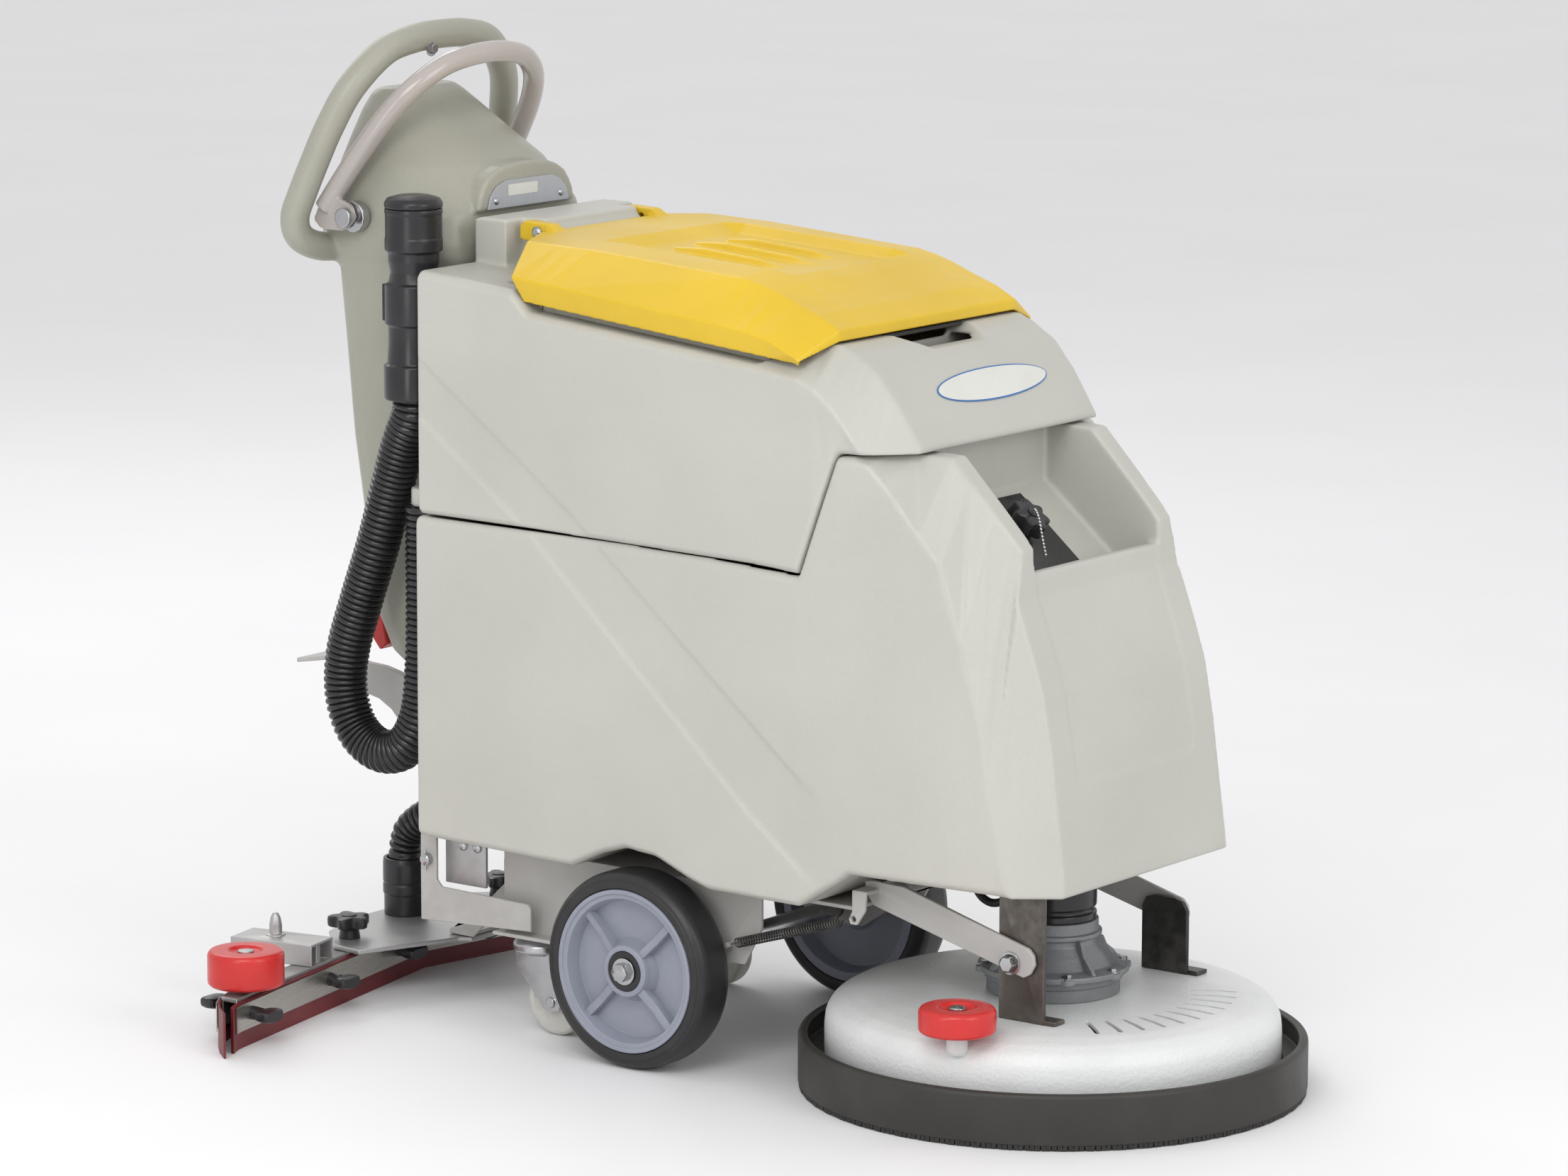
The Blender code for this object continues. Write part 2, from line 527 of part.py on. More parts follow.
# ---- column, console and handles --------------------------------------------------
def rounded_ring(x0, x1, half, corner, z, nose=None):
    """A rectangle with rounded corners at height z; nose is the radius of the front ones."""
    nose = corner if nose is None else nose
    ring = []
    centres = [(x1 - nose, half - nose, 0, nose), (x0 + corner, half - corner, 90, corner),
               (x0 + corner, -half + corner, 180, corner), (x1 - nose, -half + nose, 270, nose)]
    for cx, cy, start, radius in centres:
        for step in range(4):
            a = math.radians(start + 30 * step)
            ring.append((cx + radius * math.cos(a), cy + radius * math.sin(a), z))
    return ring


def console_back(z):
    return -0.486 + 0.14 * (z - 0.80)


def column():
    sections = [(0.3350, -0.385, 0.070, 0.028), (0.347, -0.405, 0.082, 0.030),
                (0.365, -0.420, 0.092, 0.030), (0.400, -0.430, 0.100, 0.030),
                (0.450, -0.437, 0.106, 0.032), (0.527, -0.4445, 0.110, 0.032),
                (0.592, -0.453, 0.112, 0.032), (0.700, -0.462, 0.114, 0.032),
                (0.7695, -0.468, 0.116, 0.032)]
    rings = [rounded_ring(back, -0.2845, half, corner, z) for z, back, half, corner in sections]
    shell = add_part("column", loft(rings), "console")
    # hollow from below, up to the shelf that the suction motor hangs from
    inner = [(0.320, -0.350, 0.060, 0.030), *sections[1:7], (0.690, -0.460, 0.1135, 0.032)]
    hollow = [rounded_ring(back + COLUMN_WALL, -0.2845 - COLUMN_WALL, half - COLUMN_WALL,
                           corner - COLUMN_WALL, z) for z, back, half, corner in inner]
    cut(shell, loft(hollow))


def vacuum_motor():
    """Suction turbine under its shelf in the column: fan housing above, motor below."""
    profile = [(0, 0.5450), (0.0280, 0.5450), (0.0280, 0.5500), (0.0430, 0.5520),
               (0.0430, 0.6180), (0.0480, 0.6220), (0.0700, 0.6260), (0.0700, 0.6850),
               (0.0500, 0.6890), (0.0350, 0.6897), (0, 0.6897)]
    add_part("vacuum_motor", turned(profile, (-0.3700, 0, 0), "Z", 18), "black")


def console():
    # z, x of the front, half width, radius of the back corners and of the front ones
    sections = [(0.770, -0.300, 0.114, 0.030, 0.030), (0.786, -0.296, 0.121, 0.032, 0.034),
                (0.800, -0.296, 0.123, 0.034, 0.040), (0.832, -0.300, 0.120, 0.034, 0.048),
                (0.8765, -0.312, 0.106, 0.036, 0.085), (0.905, -0.350, 0.092, 0.036, 0.080),
                (0.929, -0.389, 0.074, 0.028, 0.050), (0.944, -0.412, 0.060, 0.018, 0.030),
                (0.9505, -0.424, 0.052, 0.010, 0.020)]
    rings = []
    for z, front, half, corner, nose in sections:
        back = -0.470 if z < 0.78 else console_back(z)
        if z > 0.94:
            back += (z - 0.94) * 0.9
        rings.append(rounded_ring(back, front, half, corner, z, nose))
    hood = add_part("console", loft(rings), "console")
    arch = [(-0.079, 0.8325), (0.079, 0.8325), (0.0745, 0.850), (0.062, 0.8665), (0.040, 0.8765),
            (0.0, 0.8800), (-0.040, 0.8765), (-0.062, 0.8665), (-0.0745, 0.850)]
    fuse(hood, slab_x(arch, -0.345, -0.2930))
    half_loop = [(-0.4090, 0.0, 1.0053), (-0.4095, 0.045, 1.0030), (-0.4140, 0.0860, 0.9915),
                 (-0.4262, 0.1235, 0.9568), (-0.4400, 0.1410, 0.9180), (-0.4511, 0.1498, 0.8858),
                 (-0.4640, 0.1565, 0.8500), (-0.4735, 0.1590, 0.8230), (-0.4735, 0.1520, 0.8020),
                 (-0.4660, 0.1300, 0.7905), (-0.4580, 0.0980, 0.7885)]
    route = [(x, -y, z) for x, y, z in reversed(half_loop)] + half_loop[1:]
    loop = smooth_route(route, 38)
    radius = 0.0155
    rings = []
    for i, point in enumerate(loop):
        along = (loop[min(i + 1, len(loop) - 1)] - loop[max(i - 1, 0)]).normalized()
        across = along.cross(Vector((1, 0, -0.35))).normalized()
        third = along.cross(across).normalized()
        rings.append([point + radius * (math.cos(a) * across + math.sin(a) * third)
                      for a in (math.pi * k / 4 for k in range(8))])
    fuse(hood, loft(rings))


def name_plate():
    outline = [(-0.0665, 0.8345), (0.0665, 0.8345), (0.062, 0.8475), (0.052, 0.8575),
               (0.038, 0.8625), (-0.038, 0.8625), (-0.052, 0.8575), (-0.062, 0.8475)]
    add_part("name_plate", slab_x(outline, -0.2927, -0.2910), "steel")


def bail():
    half = [(-0.3423, 0.0, 0.9900), (-0.3440, 0.035, 0.9875), (-0.3500, 0.068, 0.9790),
            (-0.3640, 0.0985, 0.9580), (-0.3850, 0.1185, 0.9270), (-0.4140, 0.1305, 0.8850),
            (-0.4350, 0.1360, 0.8540), (-0.4500, 0.1385, 0.8320)]
    route = [(x, -y, z) for x, y, z in reversed(half)] + half[1:]
    points = smooth_route(route, 26)
    radius = 0.0113
    rings = []
    for i, point in enumerate(points):
        along = (points[min(i + 1, len(points) - 1)] - points[max(i - 1, 0)]).normalized()
        across = along.cross(Vector((1, 0, -0.69))).normalized()
        third = along.cross(across).normalized()
        rings.append([point + radius * (math.cos(a) * across + math.sin(a) * third)
                      for a in (math.pi * k / 4 for k in range(8))])
    bar = add_part("bail_bar", loft(rings), "bail", BAIL_PIVOT)
    foot = [(-0.462, 0.820), (-0.452, 0.811), (-0.420, 0.811), (-0.407, 0.8248),
            (-0.413, 0.838), (-0.435, 0.846), (-0.450, 0.842)]
    for side in SIDES.values():
        fuse(bar, slab_y(foot, 0.1360 * side, 0.1430 * side))
        cut(bar, cylinder(0.0044, 0.120 * side, 0.155 * side, (BAIL_PIVOT[0], 0, BAIL_PIVOT[2]),
                          "Y", 16))


def bail_blocks():
    """Cast blocks on the console's cheeks, each with the pin that its bail foot turns on."""
    for label, side in SIDES.items():
        centre = (BAIL_PIVOT[0], 0, BAIL_PIVOT[2])
        profile = [(0, 0.1235), (0.0165, 0.1235), (0.0165, 0.1345), (0.0040, 0.1355),
                   (0.0040, 0.1440), (0.0105, 0.1445), (0.0105, 0.1500), (0, 0.1500)]
        if side < 0:
            profile = [(r, -h) for r, h in reversed(profile)]
        add_part("bail_block_" + label, turned(profile, centre, "Y", 14), "zinc")


def control_panel():
    low, high = 0.812, 0.902
    near, far = GAP + 0.0002, 0.0045
    outline = [(console_back(low) - near, low), (console_back(high) - near, high),
               (console_back(high) - far, high), (console_back(low) - far, low)]
    add_part("control_panel", slab_y(outline, -0.062, 0.062), "black")
    # both controls stand square on the sloping panel
    slope = Matrix.Rotation(math.atan(0.14), 4, "Y")
    for name, y, lift, profile in (("key_switch", 0.030, 0.0003, KEY_PROFILE),
                                   ("start_button", -0.030, 0.0024, BUTTON_PROFILE)):
        spot = Vector((console_back(0.870) - far, y, 0.870)) + slope @ Vector((-lift, 0, 0))
        shape = turned(profile, (0, 0, 0), "X", 20)
        bmesh.ops.transform(shape, matrix=Matrix.Translation(spot) @ slope, verts=shape.verts)
        control = add_part(name, shape, "zinc" if name == "key_switch" else "red", spot)
        if name == "key_switch":
            blade = box(-0.019, -0.005, -0.0015, 0.0015, -0.008, 0.008)
            bmesh.ops.transform(blade, matrix=Matrix.Translation(spot) @ slope, verts=blade.verts)
            fuse(control, blade)


def battery_connector():
    outline = [(-0.4275, 0.366), (-0.4345, 0.400), (-0.4390, 0.432), (-0.4560, 0.436),
               (-0.4640, 0.405), (-0.4500, 0.372), (-0.4380, 0.358)]
    add_part("battery_connector", slab_y(outline, -0.072, -0.038), "red")


# ---- hoses -----------------------------------------------------------------------
def drain_hose():
    fitting = [(0.0215, 0.6480), (0.0315, 0.6480), (0.0315, 0.6850), (0.0280, 0.6870),
               (0.0265, 0.7250), (0.0300, 0.7260), (0.0300, 0.7660), (0.0258, 0.7680),
               (0.0258, 0.7900), (0.0298, 0.7930), (0.0298, 0.8440), (0.0215, 0.8440)]
    centre = (-0.3125, -0.1600, 0.0)
    add_part("drain_cuff", turned(fitting, centre, "Z", 18), "black")
    cap = [(0, 0.8443), (0.0290, 0.8443), (0.0292, 0.8520), (0.0270, 0.8550), (0, 0.8590)]
    add_part("drain_cap", turned(cap, centre, "Z", 18), "black", (-0.3125, -0.160, 0.850))
    route = [(-0.3125, -0.1600, 0.6370), (-0.3135, -0.1598, 0.6310), (-0.3180, -0.1585, 0.6220),
             (-0.3320, -0.1550, 0.6000), (-0.3480, -0.1520, 0.5600), (-0.3700, -0.1510, 0.4930),
             (-0.3955, -0.1500, 0.4280), (-0.4145, -0.1500, 0.3720), (-0.4170, -0.1500, 0.3250),
             (-0.4010, -0.1500, 0.2880), (-0.3700, -0.1500, 0.2710), (-0.3370, -0.1500, 0.2800),
             (-0.3160, -0.1500, 0.3130), (-0.3085, -0.1500, 0.3600), (-0.3060, -0.1500, 0.4200),
             (-0.3055, -0.1500, 0.4800), (-0.3055, -0.1500, 0.5355)]
    tube("drain_hose", route, HOSE_R, "black", 30)


def suction_hose():
    route = [(CUFF_X, 0.0, 0.1194), (CUFF_X + 0.0005, 0.0, 0.130), (-0.4590, 0.0, 0.1470),
             (-0.4460, 0.0, 0.1600), (-0.4280, 0.0, 0.1710), (-0.4050, 0.0, 0.1850),
             (-0.3830, 0.0, 0.2050), (-0.3650, 0.0, 0.2350), (-0.3560, 0.0, 0.2700),
             (-0.3500, 0.0, 0.3050), (-0.3450, 0.0, 0.3345)]
    tube("suction_hose", route, 0.0185, "black", 18)


def motor_cable():
    route = [(0.3270, -0.004, 0.193), (0.318, -0.004, 0.181), (0.301, -0.004, 0.177),
             (0.286, -0.004, 0.187), (0.2795, -0.004, 0.212), (0.277, -0.004, 0.250)]
    tube("motor_cable", route, 0.0042, "black", 16)


# ---- brush deck --------------------------------------------------------------------
def deck_arms():
    bar = [(0.2441, 0.2150), (0.2520, 0.2166), (0.2916, 0.2155), (0.4400, 0.1746),
           (0.4460, 0.1680), (0.4473, 0.1586), (0.4420, 0.1490), (0.4347, 0.1449),
           (0.4280, 0.1467), (0.2549, 0.1918), (0.2460, 0.2030)]
    rod = cylinder(0.0070, -0.1360, 0.1360, (ARM_PIVOT[0], 0, ARM_PIVOT[2]), "Y", 24)
    arms = add_part("deck_arms", rod, "paint", ARM_PIVOT)
    bolt_hole = (DECK_PIVOT[0], 0, DECK_PIVOT[2])
    for side in SIDES.values():
        fuse(arms, slab_y(bar, 0.1335 * side, 0.1385 * side))
        cut(arms, cylinder(0.0050, 0.130 * side, 0.142 * side, bolt_hole, "Y", 16))
    # ear on the right arm that takes the spring's hook
    fuse(arms, box(0.2440, 0.2620, -0.1600, -0.1370, 0.2060, 0.2100))
    ear = [(0.2440, 0.2100), (0.2620, 0.2100), (0.2600, 0.1900), (0.2500, 0.1750),
           (0.2420, 0.1750), (0.2400, 0.1800), (0.2440, 0.1880)]
    fuse(arms, slab_y(ear, -0.1600, -0.1565))
    cut(arms, cylinder(0.0030, -0.170, -0.150, (0.2460, 0, 0.1806), "Y", 12))


def tension_spring():
    low, high = Vector((0.0940, 0.0, 0.1331)), Vector((0.2380, 0.0, 0.1780))
    length = (high - low).length
    profile = [(0, 0), (0.0020, 0), (0.0022, 0.004), (0.0053, 0.008), (0.0053, length - 0.012),
               (0.0018, length - 0.008), (0.0018, length), (0, length)]
    bm = turned(profile, (0, 0, 0), "Z", 12)
    aim = Vector((0, 0, 1)).rotation_difference(high - low).to_matrix().to_4x4()
    place = Matrix.Translation(low + Vector((0, -0.1583, 0)))
    bmesh.ops.transform(bm, matrix=place @ aim, verts=bm.verts)
    add_part("tension_spring", bm, "black")


def deck():
    centre = (DECK_X, 0, 0)
    cover = [(0.0605, 0.0990), (0.1650, 0.0990), (0.1900, 0.0975), (0.2080, 0.0935),
             (0.2200, 0.0865), (0.2262, 0.0760), (0.2276, 0.0640), (0.2276, 0.0280),
             (0.2236, 0.0280), (0.2236, 0.0630), (0.2222, 0.0740), (0.2168, 0.0832),
             (0.2062, 0.0896), (0.1890, 0.0934), (0.1645, 0.0950), (0.0605, 0.0950)]
    roller = (0.4135, -0.2190)
    deck_cover = add_part("deck_cover", turned(cover, centre, "Z", 36), "white")
    # boss and headed pin of the bumper roller, and the fan of slots ahead of the gearbox
    pin = [(0, 0.0700), (0.0100, 0.0700), (0.0125, 0.0760), (0.0125, 0.1030),
           (0.0050, 0.1031), (0.0050, 0.1268), (0.0085, 0.1268), (0.0085, 0.1284),
           (0.0060, 0.1296), (0, 0.1296)]
    fuse(deck_cover, turned(pin, (*roller, 0), "Z", 16))
    slots = []
    for i in range(11):
        angle = math.radians(-42 + 7.6 * i)
        slot = box(0.135, 0.184, -0.0030, 0.0030, 0.088, 0.104)
        turn = Matrix.Translation(centre) @ Matrix.Rotation(angle, 4, "Z")
        bmesh.ops.transform(slot, matrix=turn, verts=slot.verts)
        slots.append(slot)
    cut(deck_cover, add_shapes(*slots))
    ring = [(0.2460, 0.0055), (0.2540, 0.0055), (0.2540, 0.0520), (0.2525, 0.0550),
            (0.2480, 0.0562), (0.2445, 0.0545), (0.2445, 0.0515), (0.2465, 0.0500),
            (0.2465, 0.0340), (0.2279, 0.0340), (0.2279, 0.0300), (0.2460, 0.0300)]
    add_part("splash_ring", turned(ring, centre, "Z", 36), "rubber")
    bristles = [(0.2466, 0.0), (0.2530, 0.0), (0.2530, 0.0052), (0.2466, 0.0052)]
    add_part("skirt_bristles", turned(bristles, centre, "Z", 36), "rubber")
    wheel = [(0.0054, 0.1040), (0.0350, 0.1040), (0.0380, 0.1068), (0.0380, 0.1255),
             (0.0350, 0.1292), (0.0190, 0.1298), (0.0160, 0.1264), (0.0054, 0.1264)]
    spot = (*roller, 0.1165)
    add_part("deck_roller", turned(wheel, (*roller, 0), "Z", 20), "red", spot)


def gear_motor():
    centre = (DECK_X, 0, 0)
    body = [(0, 0.0993), (0.0665, 0.0993), (0.0665, 0.1200), (0.0740, 0.1200), (0.0740, 0.1270),
            (0.0600, 0.1285), (0.0520, 0.1400), (0.0445, 0.1500), (0.0445, 0.1730), (0, 0.1730)]
    gearbox = add_part("gearbox", turned(body, centre, "Z", 24), "casting", DECK_PIVOT)
    fuse(gearbox, cylinder(0.0790, 0.1190, 0.1240, centre, "Z", 8))
    motor = [(0, 0.1734), (0.0425, 0.1734), (0.0425, 0.2900), (0.0380, 0.3000), (0, 0.3000)]
    add_part("drive_motor", turned(motor, centre, "Z", 24), "black", DECK_PIVOT)


def deck_brackets():
    tall = [(0.4013, 0.0993), (0.4542, 0.0993), (0.4542, 0.2320), (0.4013, 0.2320)]
    short = [(0.3964, 0.0993), (0.4505, 0.0993), (0.4505, 0.1640), (0.4450, 0.1730),
             (0.4350, 0.1760), (0.4110, 0.1760), (0.4010, 0.1730), (0.3964, 0.1640)]
    for label, outline in (("right", tall), ("left", short)):
        side = SIDES[label]
        y0, y1 = sorted((0.1270 * side, 0.1320 * side))
        bracket = add_part("deck_bracket_" + label, slab_y(outline, y0, y1), "dark_steel",
                           DECK_PIVOT)
        foot = box(0.430, outline[1][0] + 0.013, y1 - 0.004, y1 + 0.014, 0.0993, 0.1038)
        fuse(bracket, foot)
        # stud and nut that the arm's front end turns on
        stud = [(0, 0.1300), (0.0046, 0.1300), (0.0046, 0.1388), (0.0095, 0.1389),
                (0.0095, 0.1404), (0.0085, 0.1406), (0.0085, 0.1470), (0, 0.1470)]
        if side < 0:
            stud = [(r, -h) for r, h in reversed(stud)]
        fuse(bracket, turned(stud, (DECK_PIVOT[0], 0, DECK_PIVOT[2]), "Y", 12))


def brush():
    spin = (DECK_X, 0, 0.05)
    block = [(0, 0.0520), (0.205, 0.0520), (0.205, 0.0640), (0.055, 0.0700), (0.012, 0.0700),
             (0.012, 0.0940), (0, 0.0940)]
    add_part("brush_block", turned(block, (DECK_X, 0, 0), "Z", 28), "black", spin)
    bristles = [(0.060, 0.0004), (0.203, 0.0004), (0.203, 0.0517), (0.060, 0.0517)]
    add_part("brush_bristles", turned(bristles, (DECK_X, 0, 0), "Z", 28), "rim", spin)


# ---- squeegee ------------------------------------------------------------------------
def v_line(y, offset):
    """x of a line parallel to the V; its ends sweep forward, more so behind the plate."""
    rear = offset > 0.02
    bend = REAR_BEND_Y if rear else BEND_Y
    sweep = (REAR_SWEEP if rear else SWEEP) * max(0.0, abs(y) - bend) ** 2
    return V_APEX + V_SLOPE * abs(y) + sweep - offset


def v_strip(front, back, low, high, tip=TIP_Y):
    """An upright or flat strip that follows the V between two offsets."""
    sides = [y for y in (0.36, 0.38) if y < tip]
    sides += [sides[-1] + (tip - sides[-1]) * k / 3 for k in (1, 2, 3)]
    stations = sorted({0.0, *(s * y for y in sides for s in (-1, 1))})
    rings = []
    for y in stations:
        f, b = v_line(y, front), v_line(y, back)
        rings.append([(f, y, low), (f, y, high), (b, y, high), (b, y, low)])
    return loft(rings)


def clamp_knob(y, offset, facing):
    """Wing knob that clamps a strip and its blade, on the strip's outer face."""
    x = v_line(y, offset)
    profile = [(0, -0.0008 * facing), (0.0062, -0.0008 * facing), (0.0060, 0.0140 * facing),
               (0, 0.0140 * facing)]
    shank = turned(profile, (x, y, 0.0335), "X", 10)
    wing = box(*sorted((x + 0.0130 * facing, x + 0.0310 * facing)), y - 0.0155, y + 0.0155,
               0.0270, 0.0400)
    return shank, wing


def squeegee():
    plate = add_part("squeegee_plate", v_strip(0.0066, 0.0324, 0.0465, 0.0515, 0.384), "steel",
                     SWING_PIVOT)
    fuse(plate, v_strip(0.0066, 0.0092, 0.0190, 0.0500, 0.384))
    fuse(plate, v_strip(0.0298, 0.0324, 0.0190, 0.0500, 0.384))
    cut(plate, cylinder(0.0085, 0.03, 0.07, (-0.4565, 0, 0), "Z", 16))
    add_part("front_blade", v_strip(0.0020, 0.0062, 0.0, 0.0480), "blade", SWING_PIVOT)
    add_part("rear_blade", v_strip(0.0331, 0.0364, 0.0, 0.0480, REAR_TIP_Y), "blade",
             SWING_PIVOT)
    front = add_part("front_strip", v_strip(0.0, 0.0016, 0.0185, 0.0460, 0.396), "steel",
                     SWING_PIVOT)
    rear = add_part("rear_strip", v_strip(0.0374, 0.0390, 0.0185, 0.0460, 0.400), "steel",
                    SWING_PIVOT)
    for side in (-1, 1):
        for y in (0.060, 0.205, 0.362):
            for shape in clamp_knob(y * side, 0.0, 1):
                fuse(front, shape)
        for y in (0.130, 0.350):
            for shape in clamp_knob(y * side, 0.0390, -1):
                fuse(rear, shape)
    squeegee_fittings(plate)
    # centre plate that carries the suction cuff and reaches forward to the swing pin
    half = [(-0.4950, 0.060), (-0.4760, 0.114), (-0.4300, 0.160), (-0.3925, 0.164), (-0.3480, 0.054),
            (-0.3350, 0.046)]
    outline = half + [(x, -y) for x, y in reversed(half)]
    port = add_part("port_plate", slab_z(outline, 0.0519, 0.0569), "steel", SWING_PIVOT)
    cut(port, cylinder(0.0190, 0.04, 0.07, (CUFF_X, 0, 0), "Z", 20))
    cut(port, cylinder(0.0060, 0.04, 0.07, (SWING_PIVOT[0], 0, 0), "Z", 16))
    cuff = [(0.0205, 0.0573), (0.0235, 0.0573), (0.0235, 0.0790), (0.0247, 0.0805),
            (0.0247, 0.1190), (0.0205, 0.1190)]
    add_part("suction_cuff", turned(cuff, (CUFF_X, 0, 0), "Z", 18), "black", SWING_PIVOT)


def squeegee_fittings(plate):
    """Inverted channels welded across the plate, with their nuts, and the roller pins."""
    for side in SIDES.values():
        slope = Matrix.Rotation(math.radians(11.0) * -side, 4, "Z")
        place = Matrix.Translation((-0.4480, 0.2215 * side, 0.0)) @ slope
        wall = [(-0.0230, 0.0519), (-0.0230, 0.0745), (0.0230, 0.0745), (0.0230, 0.0519),
                (0.0205, 0.0519), (0.0205, 0.0720), (-0.0205, 0.0720), (-0.0205, 0.0519)]
        rib = box(-0.0150, 0.0440, -0.0040, 0.0040, 0.0500, 0.0730)
        channel = slab_x(wall, -0.0485, 0.0485)
        nut = turned([(0, 0.0740), (0.0105, 0.0740), (0.0105, 0.0760), (0.0068, 0.0762),
                      (0.0068, 0.0850), (0.0055, 0.0930), (0.0030, 0.0980), (0, 0.0990)],
                     (-0.4586, 0.2188 * side, 0.0), "Z", 12)
        pin_y = SQ_ROLLER_Y * side
        pin = turned([(0, 0.0505), (0.0090, 0.0505), (0.0090, 0.0555), (0.0050, 0.0557),
                      (0.0050, 0.0905), (0.0085, 0.0905), (0.0085, 0.0925), (0, 0.0935)],
                     (v_line(pin_y, 0.0195), pin_y, 0.0), "Z", 12)
        for piece in (channel, rib):
            bmesh.ops.transform(piece, matrix=place, verts=piece.verts)
        for piece in (rib, channel, nut, pin):
            fuse(plate, piece)


def star_knobs():
    lobes = 5
    for label, side in SIDES.items():
        spot = (-0.440, 0.125 * side, 0.0572)
        star = []
        for i in range(lobes * 4):
            a = 2 * math.pi * i / (lobes * 4)
            r = 0.0195 + 0.0040 * math.cos(lobes * a)
            star.append((spot[0] + r * math.cos(a), spot[1] + r * math.sin(a)))
        knob = add_part("star_knob_" + label, slab_z(star, 0.0690, 0.0810), "black", spot)
        fuse(knob, cylinder(0.0115, 0.0572, 0.0700, (spot[0], spot[1], 0), "Z", 16))


def squeegee_rollers():
    wheel = [(0.0054, 0.0560), (0.0362, 0.0560), (0.0395, 0.0590), (0.0395, 0.0890),
             (0.0367, 0.0930), (0.0181, 0.0935), (0.0157, 0.0900), (0.0054, 0.0900)]
    for label, side in SIDES.items():
        y = SQ_ROLLER_Y * side
        x = v_line(y, 0.0195)
        low = [(r, h + 0.0003) for r, h in wheel]
        add_part("squeegee_roller_" + label, turned(low, (x, y, 0), "Z", 20), "red",
                 (x, y, 0.075))


def squeegee_link():
    bar = [(-0.2380, 0.1445), (-0.2380, 0.1560), (-0.2450, 0.1590), (-0.2520, 0.1570),
           (-0.3450, 0.0700), (-0.3650, 0.0630), (-0.3650, 0.0576), (-0.3330, 0.0576),
           (-0.2500, 0.1400)]
    pin = cylinder(0.0040, -0.0550, 0.0550, (LIFT_PIVOT[0], 0, LIFT_PIVOT[2]), "Y", 16)
    link = add_part("squeegee_link", pin, "paint", LIFT_PIVOT)
    for side in SIDES.values():
        fuse(link, slab_y(bar, 0.0440 * side, 0.0480 * side))
    fuse(link, box(-0.3640, -0.3360, -0.0460, 0.0460, 0.0577, 0.0617))
    fuse(link, cylinder(0.0055, 0.0480, 0.0600, (SWING_PIVOT[0], 0, 0), "Z", 16))


def lift_pedal():
    bar = [(-0.500, 0.3470), (-0.475, 0.3425), (-0.4608, 0.3406), (-0.4394, 0.3393),
           (-0.4201, 0.3351), (-0.4074, 0.3301), (-0.385, 0.315), (-0.360, 0.285),
           (-0.335, 0.245), (-0.315, 0.215), (-0.315, 0.203), (-0.325, 0.197),
           (-0.335, 0.199), (-0.365, 0.225), (-0.392, 0.255), (-0.4177, 0.282),
           (-0.4291, 0.2939), (-0.4462, 0.3033), (-0.4634, 0.307), (-0.480, 0.316),
           (-0.500, 0.340)]
    tread = [(-0.543, 0.3345), (-0.543, 0.3395), (-0.495, 0.3480), (-0.495, 0.3430)]
    pedal = add_part("lift_pedal", slab_y(bar, -0.0645, -0.0555), "paint", PEDAL_PIVOT)
    fuse(pedal, slab_y(tread, -0.085, -0.035))
    fuse(pedal, cylinder(0.0040, -0.0700, -0.0500, (PEDAL_PIVOT[0], 0, PEDAL_PIVOT[2]), "Y", 16))


def build():
    for item in list(bpy.data.objects):
        bpy.data.objects.remove(item, do_unlink=True)
    chassis()
    rear_hangers()
    axle()
    wheels()
    casters()
    solution_tank()
    battery_pack()
    pocket_plate()
    filler_cap()
    recovery_tank()
    lid()
    column()
    vacuum_motor()
    console()
    name_plate()
    bail()
    bail_blocks()
    control_panel()
    battery_connector()
    drain_hose()
    suction_hose()
    motor_cable()
    deck_arms()
    tension_spring()
    deck()
    gear_motor()
    deck_brackets()
    brush()
    squeegee()
    star_knobs()
    squeegee_rollers()
    squeegee_link()
    lift_pedal()


build()
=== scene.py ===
import json
import math

import bmesh
import bpy
from mathutils import Matrix, Vector
from mathutils.bvhtree import BVHTree

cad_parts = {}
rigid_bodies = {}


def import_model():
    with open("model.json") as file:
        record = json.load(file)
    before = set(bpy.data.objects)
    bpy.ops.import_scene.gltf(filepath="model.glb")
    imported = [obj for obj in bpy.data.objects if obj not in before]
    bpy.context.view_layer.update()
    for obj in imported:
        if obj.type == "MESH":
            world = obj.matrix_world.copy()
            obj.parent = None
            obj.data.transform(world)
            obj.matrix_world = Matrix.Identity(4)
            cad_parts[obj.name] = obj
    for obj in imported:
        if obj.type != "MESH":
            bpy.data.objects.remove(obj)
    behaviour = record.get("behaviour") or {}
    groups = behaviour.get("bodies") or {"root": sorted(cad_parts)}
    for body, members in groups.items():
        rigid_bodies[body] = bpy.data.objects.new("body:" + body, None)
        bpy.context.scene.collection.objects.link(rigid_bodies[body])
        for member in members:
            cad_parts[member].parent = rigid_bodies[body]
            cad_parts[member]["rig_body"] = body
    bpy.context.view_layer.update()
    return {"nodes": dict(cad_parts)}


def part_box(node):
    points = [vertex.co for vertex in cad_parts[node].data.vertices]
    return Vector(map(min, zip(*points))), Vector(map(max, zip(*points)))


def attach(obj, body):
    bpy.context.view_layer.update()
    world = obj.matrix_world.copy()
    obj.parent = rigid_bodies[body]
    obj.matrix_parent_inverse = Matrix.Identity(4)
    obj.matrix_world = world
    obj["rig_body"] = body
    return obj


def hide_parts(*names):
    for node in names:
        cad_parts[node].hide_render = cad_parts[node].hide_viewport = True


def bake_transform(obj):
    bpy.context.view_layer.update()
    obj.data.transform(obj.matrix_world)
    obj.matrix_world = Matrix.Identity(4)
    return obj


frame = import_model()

SIDES = {"right": -1.0, "left": 1.0}
NODES = frame["nodes"]
SCENE = bpy.context.scene
ALBEDO = 0.78            # the studio light is bright, so the finishes are a little darker
EYE = (3.7981, -5.0355, 1.5958)          # the camera, from the middle of the large wheels' axle
